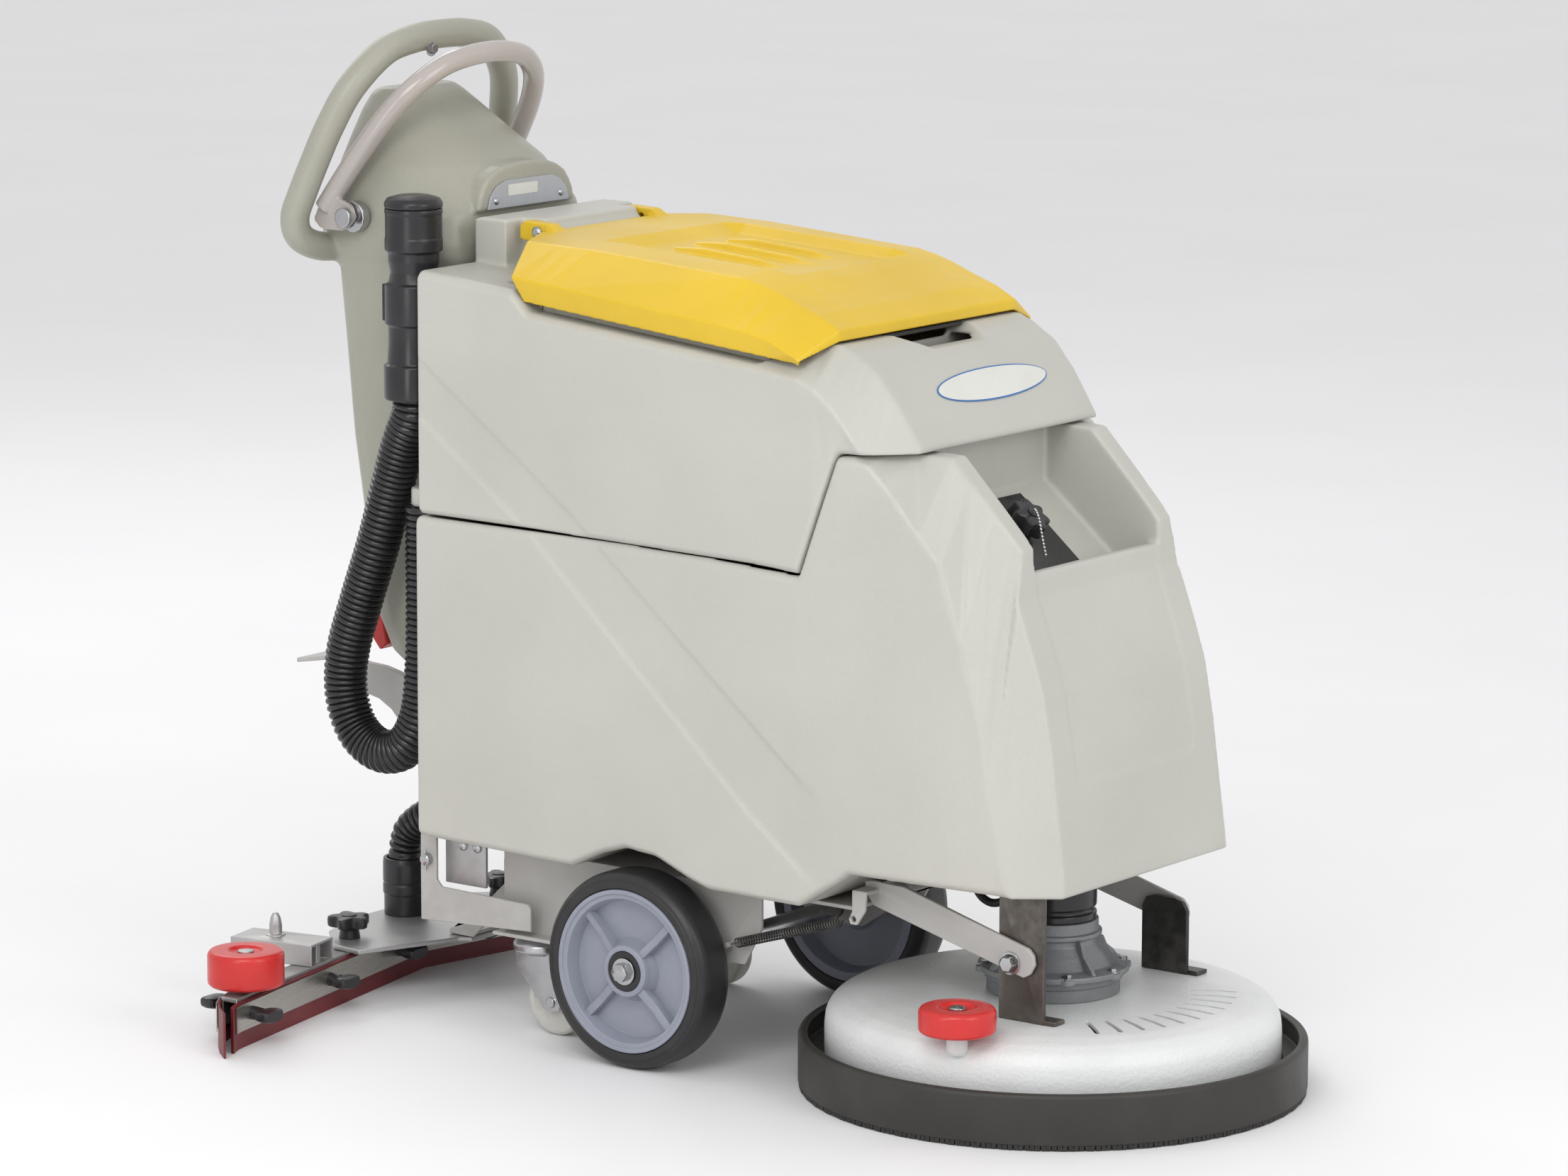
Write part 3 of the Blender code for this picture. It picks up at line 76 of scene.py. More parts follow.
YAW, PITCH, ROLL = 0.6411, 0.1778, 0.0029
LENS_MM = 144.26
FLOOR_REACH = 45.0


def middle(node):
    low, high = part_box(node)
    return (low + high) / 2


# Everything below counts x from the axle of the large wheels, as a mechanic would.
AXLE_X = middle("axle").x
WHEEL_Z = middle("axle").z
DECK_X = middle("deck_cover").x - AXLE_X


# ---- camera, light and floor -----------------------------------------------------
def camera():
    forward = Vector((-math.sin(YAW) * math.cos(PITCH), math.cos(YAW) * math.cos(PITCH),
                      -math.sin(PITCH)))
    right = Vector((math.cos(YAW), math.sin(YAW), 0.0))
    up = right.cross(forward)
    right = math.cos(ROLL) * right + math.sin(ROLL) * up
    up = right.cross(forward)
    lens = bpy.data.cameras.new("camera")
    lens.sensor_width = 36
    lens.lens = LENS_MM
    lens.clip_end = 100
    eye = bpy.data.objects.new("camera", lens)
    turn = Matrix((right, up, -forward)).transposed().to_4x4()
    eye.matrix_world = Matrix.Translation(Vector(EYE) + Vector((AXLE_X, 0, 0))) @ turn
    SCENE.collection.objects.link(eye)
    SCENE.camera = eye


def light(name, place, target, size, power, colour=(1.0, 1.0, 1.0)):
    lamp = bpy.data.lights.new(name, "AREA")
    lamp.shape = "RECTANGLE"
    lamp.size, lamp.size_y = size
    lamp.energy = power
    lamp.color = colour
    lamp_object = bpy.data.objects.new(name, lamp)
    aim = (Vector(target) - Vector(place)).to_track_quat("-Z", "Y")
    lamp_object.matrix_world = Matrix.Translation(place) @ aim.to_matrix().to_4x4()
    SCENE.collection.objects.link(lamp_object)


def studio():
    world = bpy.data.worlds.new("studio")
    world.use_nodes = True
    sky = world.node_tree.nodes["Background"]
    sky.inputs["Color"].default_value = (1.0, 0.995, 1.0, 1.0)
    sky.inputs["Strength"].default_value = 0.82
    SCENE.world = world
    SCENE.view_settings.view_transform = "Standard"
    light("key", (1.6, -3.2, 3.2), (0, 0, 0.5), (2.2, 1.6), 52)
    light("front", (4.2, -0.8, 2.2), (0, 0, 0.5), (1.8, 2.2), 40)
    light("rim", (-3.0, 1.5, 3.0), (0, 0, 0.6), (2.0, 2.0), 30)
    light("strip", (0.2, -2.6, 1.0), (0, 0, 0.3), (0.5, 1.6), 8)


# ---- materials ---------------------------------------------------------------------
def tone(r, g, b):
    """Linear colour of an sRGB one in 0-255."""
    def one(v):
        v /= 255
        return v / 12.92 if v <= 0.04045 else ((v + 0.055) / 1.055) ** 2.4
    return tuple(ALBEDO * one(v) for v in (r, g, b))


class Finish:
    """A Principled material with colour variation, grain, roughness and edge wear."""

    def __init__(self, name, colour, roughness, metallic=0.0, **sockets):
        self.material = bpy.data.materials.new(name)
        self.material.use_nodes = True
        self.tree = self.material.node_tree
        self.shader = self.tree.nodes["Principled BSDF"]
        self.shader.inputs["Metallic"].default_value = metallic
        self.place = self.add("ShaderNodeTexCoord").outputs["Object"]
        self.colour = tone(*colour)
        self.roughness = roughness
        for socket, value in sockets.items():
            self.shader.inputs[socket.replace("_", " ")].default_value = value

    def add(self, kind, **values):
        node = self.tree.nodes.new(kind)
        for key, value in values.items():
            if key in node.inputs:
                node.inputs[key].default_value = value
            else:
                setattr(node, key, value)
        return node

    def link(self, output, node, socket):
        self.tree.links.new(output, node.inputs[socket])
        return node

    def noise(self, scale, detail=3.0, stretch=(1, 1, 1)):
        spread = self.add("ShaderNodeMapping")
        spread.inputs["Scale"].default_value = stretch
        self.link(self.place, spread, "Vector")
        texture = self.add("ShaderNodeTexNoise", Scale=scale, Detail=detail)
        self.link(spread.outputs[0], texture, "Vector")
        return texture.outputs["Fac"]

    def remap(self, value, low, high, new_low, new_high):
        node = self.add("ShaderNodeMapRange")
        for socket, number in (("From Min", low), ("From Max", high),
                               ("To Min", new_low), ("To Max", new_high)):
            node.inputs[socket].default_value = number
        self.link(value, node, "Value")
        return node.outputs[0]

    def mix(self, factor, one, two):
        node = self.add("ShaderNodeMix", data_type="RGBA")
        self.link(factor, node, 0)
        for socket, side in ((6, one), (7, two)):
            if isinstance(side, tuple):
                node.inputs[socket].default_value = (*side, 1.0)
            else:
                self.link(side, node, socket)
        return node.outputs[2]

    def paint(self, vary=0.06, patch=7.0, speck=0.03, stretch=(1, 1, 1)):
        """Broad patches and fine specks of a lighter and a darker tone."""
        dark = tuple(v * (1 - vary) for v in self.colour)
        bright = tuple(min(1.0, v * (1 + vary)) for v in self.colour)
        base = self.mix(self.remap(self.noise(patch, 4, stretch), 0.35, 0.65, 0, 1), dark, bright)
        fine = self.remap(self.noise(420.0, 2, stretch), 0.4, 0.7, 0, speck * 6)
        self.base = self.mix(fine, base, tuple(v * 0.8 for v in self.colour))
        return self

    def wear(self, colour, start=0.53, full=0.6, amount=0.6):
        """Sharp outer edges go towards another colour."""
        edge = self.add("ShaderNodeNewGeometry").outputs["Pointiness"]
        rough = self.add("ShaderNodeMath", operation="MULTIPLY")
        self.link(self.remap(edge, start, full, 0, amount), rough, 0)
        self.link(self.remap(self.noise(60.0, 5), 0.4, 0.62, 0.25, 1), rough, 1)
        self.base = self.mix(rough.outputs[0], self.base, tone(*colour))
        return self

    def grime(self, colour, scale=4.0, amount=0.25):
        """Soft dirty clouds."""
        cloud = self.remap(self.noise(scale, 6), 0.52, 0.75, 0, amount)
        self.base = self.mix(cloud, self.base, tone(*colour))
        return self

    def grain(self, scale=900.0, depth=0.00005, strength=0.5, spread=0.07, stretch=(1, 1, 1),
              cells=False):
        """Uneven roughness and a fine bump, over the colour made so far."""
        self.link(self.base, self.shader, "Base Color")
        rough = self.remap(self.noise(14.0, 4, stretch), 0.3, 0.7,
                           self.roughness - spread, self.roughness + spread)
        self.link(rough, self.shader, "Roughness")
        if cells:
            spots = self.add("ShaderNodeTexVoronoi", Scale=scale)
            self.link(self.place, spots, "Vector")
            height = spots.outputs["Distance"]
        else:
            height = self.noise(scale, 2, stretch)
        bump = self.add("ShaderNodeBump", Strength=strength, Distance=depth)
        self.link(height, bump, "Height")
        self.link(bump.outputs[0], self.shader, "Normal")
        return self


def finishes():
    """All materials, by the record's slot names and a few of their own."""
    made = {
        "tank": Finish("tank_plastic", (206, 205, 196), 0.42).paint(0.035, 5, 0.02)
        .wear((222, 221, 214), 0.52, 0.62, 0.5).grime((180, 178, 166), 3, 0.2)
        .grain(620, 0.00022, 0.35, cells=True),
        "console": Finish("console_plastic", (178, 177, 163), 0.38).paint(0.05, 6, 0.03)
        .wear((205, 204, 192), 0.52, 0.62, 0.4).grain(560, 0.00022, 0.4, cells=True),
        "lid": Finish("lid_plastic", (243, 203, 40), 0.36).paint(0.05, 6, 0.02)
        .wear((250, 222, 90), 0.52, 0.62, 0.4).grain(700, 0.00015, 0.3, cells=True),
        "deck_white": Finish("deck_plastic", (244, 246, 245), 0.45).paint(0.03, 9, 0.02)
        .grime((190, 192, 188), 5, 0.25).grain(260, 0.0006, 0.5, cells=True),
        "black_plastic": Finish("black_plastic", (40, 40, 43), 0.3).paint(0.15, 20, 0.03)
        .wear((85, 85, 88), 0.53, 0.65, 0.4).grain(900, 0.00005, 0.4),
        "hose": Finish("hose_plastic", (40, 40, 42), 0.27).paint(0.2, 30, 0.05)
        .grime((70, 68, 64), 12, 0.3).grain(240, 0.0003, 0.5),
        "black_rubber": Finish("rubber", (52, 50, 46), 0.52).paint(0.12, 12, 0.05)
        .wear((86, 84, 78), 0.52, 0.62, 0.4).grime((92, 88, 80), 9, 0.25).grain(500, 0.0001, 0.5),
        "tyre": Finish("tyre_rubber", (38, 38, 40), 0.42).paint(0.15, 18, 0.05)
        .grime((80, 77, 70), 22, 0.3).grain(700, 0.0001, 0.5),
        "rim": Finish("rim_plastic", (158, 162, 176), 0.36).paint(0.06, 14, 0.03)
        .wear((180, 184, 198), 0.52, 0.6, 0.5).grain(800, 0.00005, 0.4),
        "red_plastic": Finish("red_plastic", (222, 48, 46), 0.3, Subsurface_Weight=0.03)
        .paint(0.07, 16, 0.03).wear((236, 110, 100), 0.53, 0.62, 0.35).grain(600, 0.00005, 0.3),
        "blade": Finish("blade_rubber", (122, 38, 44), 0.48).paint(0.12, 24, 0.04)
        .grime((90, 30, 34), 30, 0.4).grain(500, 0.0001, 0.4),
        "stainless": Finish("stainless", (205, 201, 194), 0.32, 0.9)
        .paint(0.03, 30, 0.02, (1, 1, 14)).grain(420, 0.00004, 0.4, 0.1, (1, 1, 30)),
        "plate_steel": Finish("plate_steel", (196, 195, 194), 0.4, 0.75).paint(0.06, 9, 0.03)
        .wear((225, 225, 225), 0.52, 0.6, 0.6).grain(500, 0.00005, 0.4),
        "grey_paint": Finish("grey_paint", (193, 191, 187), 0.36).paint(0.04, 10, 0.02)
        .wear((228, 227, 224), 0.53, 0.62, 0.6).grime((150, 146, 138), 11, 0.22)
        .grain(900, 0.00005, 0.4),
        "zinc": Finish("zinc", (205, 206, 208), 0.24, 1.0).paint(0.07, 40, 0.03)
        .grain(300, 0.00006, 0.4, 0.08),
        "dark_steel": Finish("dark_steel", (92, 86, 80), 0.42, 0.55)
        .paint(0.18, 18, 0.05, (1, 1, 0.3)).wear((150, 146, 140), 0.52, 0.6, 0.7)
        .grime((60, 50, 42), 14, 0.5).grain(500, 0.0001, 0.4),
        "black_steel": Finish("black_steel", (46, 44, 43), 0.4, 0.3).paint(0.15, 18, 0.05)
        .wear((130, 128, 124), 0.52, 0.6, 0.6).grain(500, 0.00008, 0.4),
        "casting": Finish("casting", (146, 149, 152), 0.45, 0.25).paint(0.08, 16, 0.05)
        .wear((190, 192, 194), 0.52, 0.6, 0.5).grime((100, 101, 103), 12, 0.35)
        .grain(450, 0.0002, 0.5, cells=True),
        "bail_paint": Finish("bail_paint", (192, 184, 179), 0.2, Coat_Weight=0.3)
        .paint(0.04, 10, 0.02).grain(160, 0.00006, 0.35, 0.05),
        "caster_white": Finish("caster_white", (214, 213, 206), 0.45).paint(0.05, 30, 0.04)
        .grime((150, 146, 136), 30, 0.4).grain(500, 0.0001, 0.4),
        "bristle": Finish("bristle", (96, 104, 128), 0.55).paint(0.4, 900, 0.2, (1, 1, 0.04))
        .grain(900, 0.0008, 0.9, 0.05, (1, 1, 0.04)),
        "fringe": Finish("fringe", (44, 42, 40), 0.6).paint(0.5, 700, 0.2, (1, 1, 0.05))
        .grain(700, 0.0008, 0.9, 0.05, (1, 1, 0.05)),
        "name_plate": Finish("name_plate_metal", (196, 200, 206), 0.36, 0.35)
        .paint(0.02, 20, 0.01, (1, 14, 1)).grain(600, 0.00003, 0.3, 0.06, (1, 30, 1)),
        "label": Finish("label", (235, 235, 228), 0.35).paint(0.03, 25, 0.02)
        .grain(500, 0.00003, 0.3),
        "badge_blue": Finish("badge_blue", (58, 120, 190), 0.3).paint(0.05, 25, 0.02)
        .grain(500, 0.00003, 0.3),
        "bead": Finish("bead", (225, 224, 220), 0.2, 1.0).paint(0.06, 60, 0.03)
        .grain(400, 0.00003, 0.3),
    }
    return {look: finish.material for look, finish in made.items()}


# ---- mesh building blocks -----------------------------------------------------------
def soften(points, radius):
    """The same closed outline with each corner replaced by a short arc."""
    steps = 3
    points = [Vector(p) for p in points]
    out = []
    count = len(points)
    for i, corner in enumerate(points):
        before = points[i - 1] - corner
        after = points[(i + 1) % count] - corner
        reach = min(radius, 0.45 * before.length, 0.45 * after.length)
        one = corner + before.normalized() * reach
        two = corner + after.normalized() * reach
        for k in range(steps + 1):
            t = k / steps
            out.append(tuple(one * (1 - t) ** 2 + corner * 2 * t * (1 - t) + two * t ** 2))
    return out


def loft(rings):
    """A closed solid through rings that have the same number of points."""
    bm = bmesh.new()
    loops = [[bm.verts.new(p) for p in ring] for ring in rings]
    count = len(loops[0])
    for one, two in zip(loops, loops[1:]):
        for i in range(count):
            j = (i + 1) % count
            bm.faces.new((one[i], one[j], two[j], two[i]))
    bm.faces.new(loops[0])
    bm.faces.new(loops[-1])
    return bm


def laid(axis, facing=1.0):
    """The turn that lays a shape made along Z on an axis, looking along it or back."""
    turn = {"Z": Matrix.Identity(4), "Y": Matrix.Rotation(-math.pi / 2, 4, "X"),
            "X": Matrix.Rotation(math.pi / 2, 4, "Y")}[axis]
    return turn if facing > 0 else turn @ Matrix.Rotation(math.pi, 4, "X")


def turned(profile, centre=(0, 0, 0), axis="Z", segments=64, radius=0.0):
    """Turn a closed (radius, height) profile, its corners softened first."""
    if radius:
        profile = soften(profile, radius)
    profile = [(max(r, 0.0), h) for r, h in profile]
    bm = bmesh.new()
    rings = []
    for i in range(segments):
        a = 2 * math.pi * i / segments
        rings.append([bm.verts.new((r * math.cos(a), r * math.sin(a), h)) for r, h in profile])
    count = len(profile)
    for i in range(segments):
        one, two = rings[i], rings[(i + 1) % segments]
        for k in range(count):
            m = (k + 1) % count
            if profile[k][0] < 1e-7 and profile[m][0] < 1e-7:
                continue
            if profile[k][0] < 1e-7:
                bm.faces.new((one[k], one[m], two[m]))
            elif profile[m][0] < 1e-7:
                bm.faces.new((one[k], one[m], two[k]))
            else:
                bm.faces.new((one[k], one[m], two[m], two[k]))
    bmesh.ops.remove_doubles(bm, verts=bm.verts, dist=1e-7)
    return moved(bm, Matrix.Translation(centre) @ laid(axis))


def slab(outline, low, high, axis="Y", edge=0.0):
    """An outline extruded between two heights, with its rims rounded."""
    place = {"Y": lambda u, v, h: (u, h, v), "Z": lambda u, v, h: (u, v, h),
             "X": lambda u, v, h: (h, u, v)}[axis]
    bm = loft([[place(u, v, low) for u, v in outline], [place(u, v, high) for u, v in outline]])
    if edge:
        bm.normal_update()
        rims = [e for e in bm.edges if e.calc_face_angle(0) > 1.2]
        bmesh.ops.bevel(bm, geom=rims, offset=edge, segments=2, profile=0.5,
                        affect="EDGES", clamp_overlap=True)
    return bm


def block(x0, x1, y0, y1, z0, z1):
    corners = [(x0, y0), (x1, y0), (x1, y1), (x0, y1)]
    bm = loft([[(x, y, z) for x, y in corners] for z in (z0, z1)])
    bmesh.ops.bevel(bm, geom=bm.edges[:], offset=0.001, segments=2, profile=0.5,
                    affect="EDGES", clamp_overlap=True)
    return bm


def join(*shapes):
    base = shapes[0]
    for other in shapes[1:]:
        mesh = bpy.data.meshes.new("piece")
        other.to_mesh(mesh)
        other.free()
        base.from_mesh(mesh)
        bpy.data.meshes.remove(mesh)
    return base


def join_many(shapes):
    """Join a long list of shapes in one pass."""
    base = bmesh.new()
    for shape in shapes:
        made = {v: base.verts.new(v.co) for v in shape.verts}
        for face in shape.faces:
            base.faces.new([made[v] for v in face.verts])
        shape.free()
    return base


def moved(bm, matrix):
    bmesh.ops.transform(bm, matrix=matrix, verts=bm.verts)
    return bm


def hex_bolt(centre, axis, facing, across=0.0075, height=0.0055, washer=0.0105):
    """Washer and chamfered hexagon head; facing is the direction it looks along the axis."""
    ring = turned([(0.0005, 0), (washer, 0), (washer, 0.0012), (0.0005, 0.0012)], (0, 0, 0), "Z", 32,
                  0.0004)
    head = turned([(0, 0.0012), (across, 0.0012), (across, height), (across * 0.82, height + 0.0009),
                   (0, height + 0.0009)], (0, 0, 0), "Z", 6)
    return moved(join(ring, head), Matrix.Translation(centre) @ laid(axis, facing))


def dome(centre, axis, facing, radius, height):
    """Low round head of a screw."""
    rim = [(radius * math.cos(a), height * math.sin(a)) for a in
           [math.pi / 2 * k / 5 for k in range(5)]]
    shape = turned([(0, 0), *rim, (0, height)], (0, 0, 0), "Z", 24)
    return moved(shape, Matrix.Translation(centre) @ laid(axis, facing))


def lobed(radius, depth, lobes, count):
    """Outline of a star knob: a circle whose radius rises and falls with each lobe."""
    star = []
    for i in range(count):
        a = 2 * math.pi * i / count
        r = radius + depth * math.cos(lobes * a)
        star.append((r * math.cos(a), r * math.sin(a)))
    return star


def both_sides(half):
    """A route across the machine, from the half of it that starts in the middle."""
    return [(x, -y, z) for x, y, z in reversed(half)] + half[1:]


def smooth_route(points, count):
    """Evenly spread points on a Catmull-Rom curve through the given ones."""
    pts = [Vector(p) for p in points]
    pts = [2 * pts[0] - pts[1], *pts, 2 * pts[-1] - pts[-2]]
    steps = 20
    fine = []
    for a, b, c, d in zip(pts, pts[1:], pts[2:], pts[3:]):
        for i in range(steps):
            t = i / steps
            fine.append(0.5 * (2 * b + (c - a) * t + (2 * a - 5 * b + 4 * c - d) * t ** 2
                               + (3 * b - a - 3 * c + d) * t ** 3))
    fine.append(pts[-2])
    lengths = [0.0]
    for a, b in zip(fine, fine[1:]):
        lengths.append(lengths[-1] + (b - a).length)
    out, k = [], 0
    for i in range(count):
        s = lengths[-1] * i / (count - 1)
        while k < len(fine) - 2 and lengths[k + 1] < s:
            k += 1
        t = (s - lengths[k]) / (lengths[k + 1] - lengths[k])
        out.append(fine[k].lerp(fine[k + 1], min(t, 1.0)))
    return out


def pipe(route, radius, sides=24):
    """A tube whose frame doesn't twist; radius is a number or a function of the share along."""
    rings = []
    normal = None
    for i, point in enumerate(route):
        along = (route[min(i + 1, len(route) - 1)] - route[max(i - 1, 0)]).normalized()
        if normal is None:
            normal = along.orthogonal().normalized()
        normal = (normal - along * normal.dot(along)).normalized()
        third = along.cross(normal)
        r = radius(i / (len(route) - 1)) if callable(radius) else radius
        rings.append([point + r * (math.cos(a) * normal + math.sin(a) * third)
                      for a in (2 * math.pi * k / sides for k in range(sides))])
    return loft(rings)


def piece(name, bm, material, body, replaces=(), sharp=32, shift=True):
    """Link a bmesh as a piece of the machine that rides on a body, or on no body when body is None.
    Its material is the finish under the given key."""
    bmesh.ops.recalc_face_normals(bm, faces=bm.faces)
    if shift:
        bmesh.ops.translate(bm, verts=bm.verts, vec=(AXLE_X, 0, 0))
    mesh = bpy.data.meshes.new(name)
    bm.to_mesh(mesh)
    bm.free()
    mesh.shade_smooth()
    mesh.set_sharp_from_angle(angle=math.radians(sharp))
    made = bpy.data.objects.new(name, mesh)
    made.data.materials.append(FINISH[material])
    SCENE.collection.objects.link(made)
    if body is not None:
        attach(made, body)
    if replaces:
        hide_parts(*replaces)
    return made


def refined(node, material, edge, angle=30, steps=2):
    """The CAD node's own shape with clean faces and rounded edges; its slot is its material's."""
    bm = bmesh.new()
    bm.from_mesh(NODES[node].data)
    bmesh.ops.remove_doubles(bm, verts=bm.verts, dist=2e-5)
    bmesh.ops.dissolve_limit(bm, angle_limit=math.radians(1.0), verts=bm.verts, edges=bm.edges)
    made = piece(node + "_finish", bm, material, NODES[node]["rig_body"], [node], 40, False)
    rounding = made.modifiers.new("rounding", "BEVEL")
    rounding.width = edge
    rounding.segments = steps
    rounding.limit_method = "ANGLE"
    rounding.angle_limit = math.radians(angle)
    rounding.use_clamp_overlap = False
    rounding.harden_normals = False
    rounding.miter_outer = "MITER_ARC"


def carved(bm, tool, operation="DIFFERENCE"):
    """A bmesh after a Boolean with another; both are in row coordinates."""
    pair = []
    for shape in (bm, tool):
        bmesh.ops.recalc_face_normals(shape, faces=shape.faces)
        mesh = bpy.data.meshes.new("shape")
        shape.to_mesh(mesh)
        shape.free()
        holder = bpy.data.objects.new("shape", mesh)
        SCENE.collection.objects.link(holder)
        pair.append(holder)
    modifier = pair[0].modifiers.new("carve", "BOOLEAN")
    modifier.operation = operation
    modifier.solver = "EXACT"
    modifier.object = pair[1]
    graph = bpy.context.evaluated_depsgraph_get()
    result = bmesh.new()
    result.from_object(pair[0], graph)
    for holder in pair:
        bpy.data.objects.remove(holder)
    return result


def blended(bm, voxel, rounds, keep=1.0):
    """Shapes grown into one soft moulding: a voxel remesh, then smoothing."""
    mesh = bpy.data.meshes.new("shape")
    bmesh.ops.recalc_face_normals(bm, faces=bm.faces)
    bm.to_mesh(mesh)
    bm.free()
    holder = bpy.data.objects.new("shape", mesh)
    SCENE.collection.objects.link(holder)
    remesh = holder.modifiers.new("remesh", "REMESH")
    remesh.mode = "VOXEL"
    remesh.voxel_size = voxel
    smooth = holder.modifiers.new("smooth", "SMOOTH")
    smooth.iterations = rounds
    smooth.factor = 0.5
    if keep < 1:
        thin = holder.modifiers.new("thin", "DECIMATE")
        thin.ratio = keep
    graph = bpy.context.evaluated_depsgraph_get()
    result = bmesh.new()
    result.from_object(holder, graph)
    bpy.data.objects.remove(holder)
    return result


def moulded(node, material, voxel, keep, tool=None, extra=None):
    """The CAD node's shape as a rotomoulder leaves it, every edge and corner rounded off."""
    bm = bmesh.new()
    bm.from_mesh(NODES[node].data)
    bmesh.ops.remove_doubles(bm, verts=bm.verts, dist=2e-5)
    if tool is not None:
        bm = carved(bm, tool)
    if extra is not None:
        bm = join(bm, extra)
    piece(node + "_moulded", blended(bm, voxel, 3, keep), material, NODES[node]["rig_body"],
          replaces=[node], sharp=180, shift=False)


def shifted(bm):
    """Machine coordinates to row coordinates."""
    bmesh.ops.translate(bm, verts=bm.verts, vec=(AXLE_X, 0, 0))
    return bm


# ---- hoses ---------------------------------------------------------------------------
def corrugated(route, radius, pitch, depth):
    """A ribbed hose: rounded crests and narrow grooves at an even pitch."""
    line = smooth_route(route, 400)
    length = sum((b - a).length for a, b in zip(line, line[1:]))
    turns = round(length / pitch)
    fine = smooth_route(route, turns * 8 + 1)

    def wave(share):
        phase = (share * turns) % 1.0
        fade = min(1.0, share * turns, (1 - share) * turns)
        return radius - depth * fade * (1 - abs(math.sin(math.pi * phase)) ** 0.7)
    return pipe(fine, wave, 40), length, line


def drain_hose():
    """The long loop behind the tank, its cuff and the cuff's cap."""
    route = [(-0.3125, -0.16, 0.672), (-0.3128, -0.16, 0.642), (-0.3175, -0.1585, 0.626),
             (-0.332, -0.155, 0.6), (-0.348, -0.152, 0.56), (-0.37, -0.151, 0.493),
             (-0.3955, -0.15, 0.428), (-0.4145, -0.15, 0.372), (-0.417, -0.15, 0.325),
             (-0.401, -0.15, 0.288), (-0.37, -0.15, 0.271), (-0.337, -0.15, 0.28),
             (-0.316, -0.15, 0.313), (-0.3085, -0.15, 0.36), (-0.306, -0.15, 0.42),
             (-0.3055, -0.15, 0.48), (-0.3055, -0.15, 0.5355)]
    bm, length, line = corrugated(route, 0.0231, 0.0068, 0.003)
    hose = piece("drain_hose_ribbed", bm, "hose", "machine", ["drain_hose"], 60)
    fitting = [(0.0215, 0.648), (0.031, 0.648), (0.0315, 0.65), (0.0315, 0.683), (0.028, 0.685),
               (0.0265, 0.706), (0.0265, 0.723), (0.0285, 0.725), (0.03, 0.726), (0.03, 0.766),
               (0.0262, 0.768), (0.024, 0.778), (0.0262, 0.79), (0.0262, 0.799), (0.0298, 0.801),
               (0.0298, 0.813), (0.0292, 0.8145), (0.0292, 0.838), (0.0298, 0.8395),
               (0.0298, 0.844), (0.0215, 0.844)]
    centre = (-0.3125, -0.16, 0.0)
    cuff = turned(fitting, centre, "Z", 96, 0.0012)
    clip = block(-0.3455, -0.3415, -0.172, -0.148, 0.727, 0.765)
    piece("drain_cuff_turned", join(cuff, clip), "black_plastic", "machine",
          replaces=["drain_cuff"])
    cap = [(0, 0.8443), (0.029, 0.8443), (0.03, 0.846), (0.03, 0.85), (0.027, 0.8545),
           (0.016, 0.8575), (0, 0.859)]
    piece("drain_cap_turned", turned(cap, centre, "Z", 96, 0.0012), "black_plastic",
          "drain_stopper", replaces=["drain_cap"])


def suction_hose():
    """The hose up from the squeegee, left on no body, and its cuff; the real hose bends with the
    squeegee's arm.
    """
    cuff_x = middle("suction_cuff").x - AXLE_X
    route = [(cuff_x, 0.0, 0.1194), (cuff_x + 0.0005, 0.0, 0.13), (-0.459, 0.0, 0.147),
             (-0.446, 0.0, 0.16), (-0.428, 0.0, 0.171), (-0.405, 0.0, 0.185), (-0.383, 0.0, 0.205),
             (-0.365, 0.0, 0.235), (-0.356, 0.0, 0.27), (-0.35, 0.0, 0.305), (-0.345, 0.0, 0.3345)]
    bm, _, _ = corrugated(route, 0.0185, 0.008, 0.0036)
    suction = piece("suction_hose_ribbed", bm, "hose", None, ["suction_hose"], 60)
    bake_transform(suction)
    rings = [(0.0205, 0.0573), (0.0235, 0.0573), (0.0235, 0.079), (0.0247, 0.0805), (0.0247, 0.09),
             (0.024, 0.091), (0.024, 0.0925), (0.0247, 0.0935), (0.0247, 0.113), (0.024, 0.119),
             (0.0205, 0.119)]
    piece("suction_cuff_turned", turned(rings, (cuff_x, 0, 0), "Z", 96, 0.001), "black_plastic",
          "squeegee", replaces=["suction_cuff"])


def motor_lead():
    route = [(0.327, -0.004, 0.193), (0.318, -0.004, 0.181), (0.301, -0.004, 0.177),
             (0.286, -0.004, 0.187), (0.2795, -0.004, 0.212), (0.277, -0.004, 0.25)]
    piece("motor_lead", pipe(smooth_route(route, 60), 0.0042, 20), "black_rubber", "machine",
          replaces=["motor_cable"])


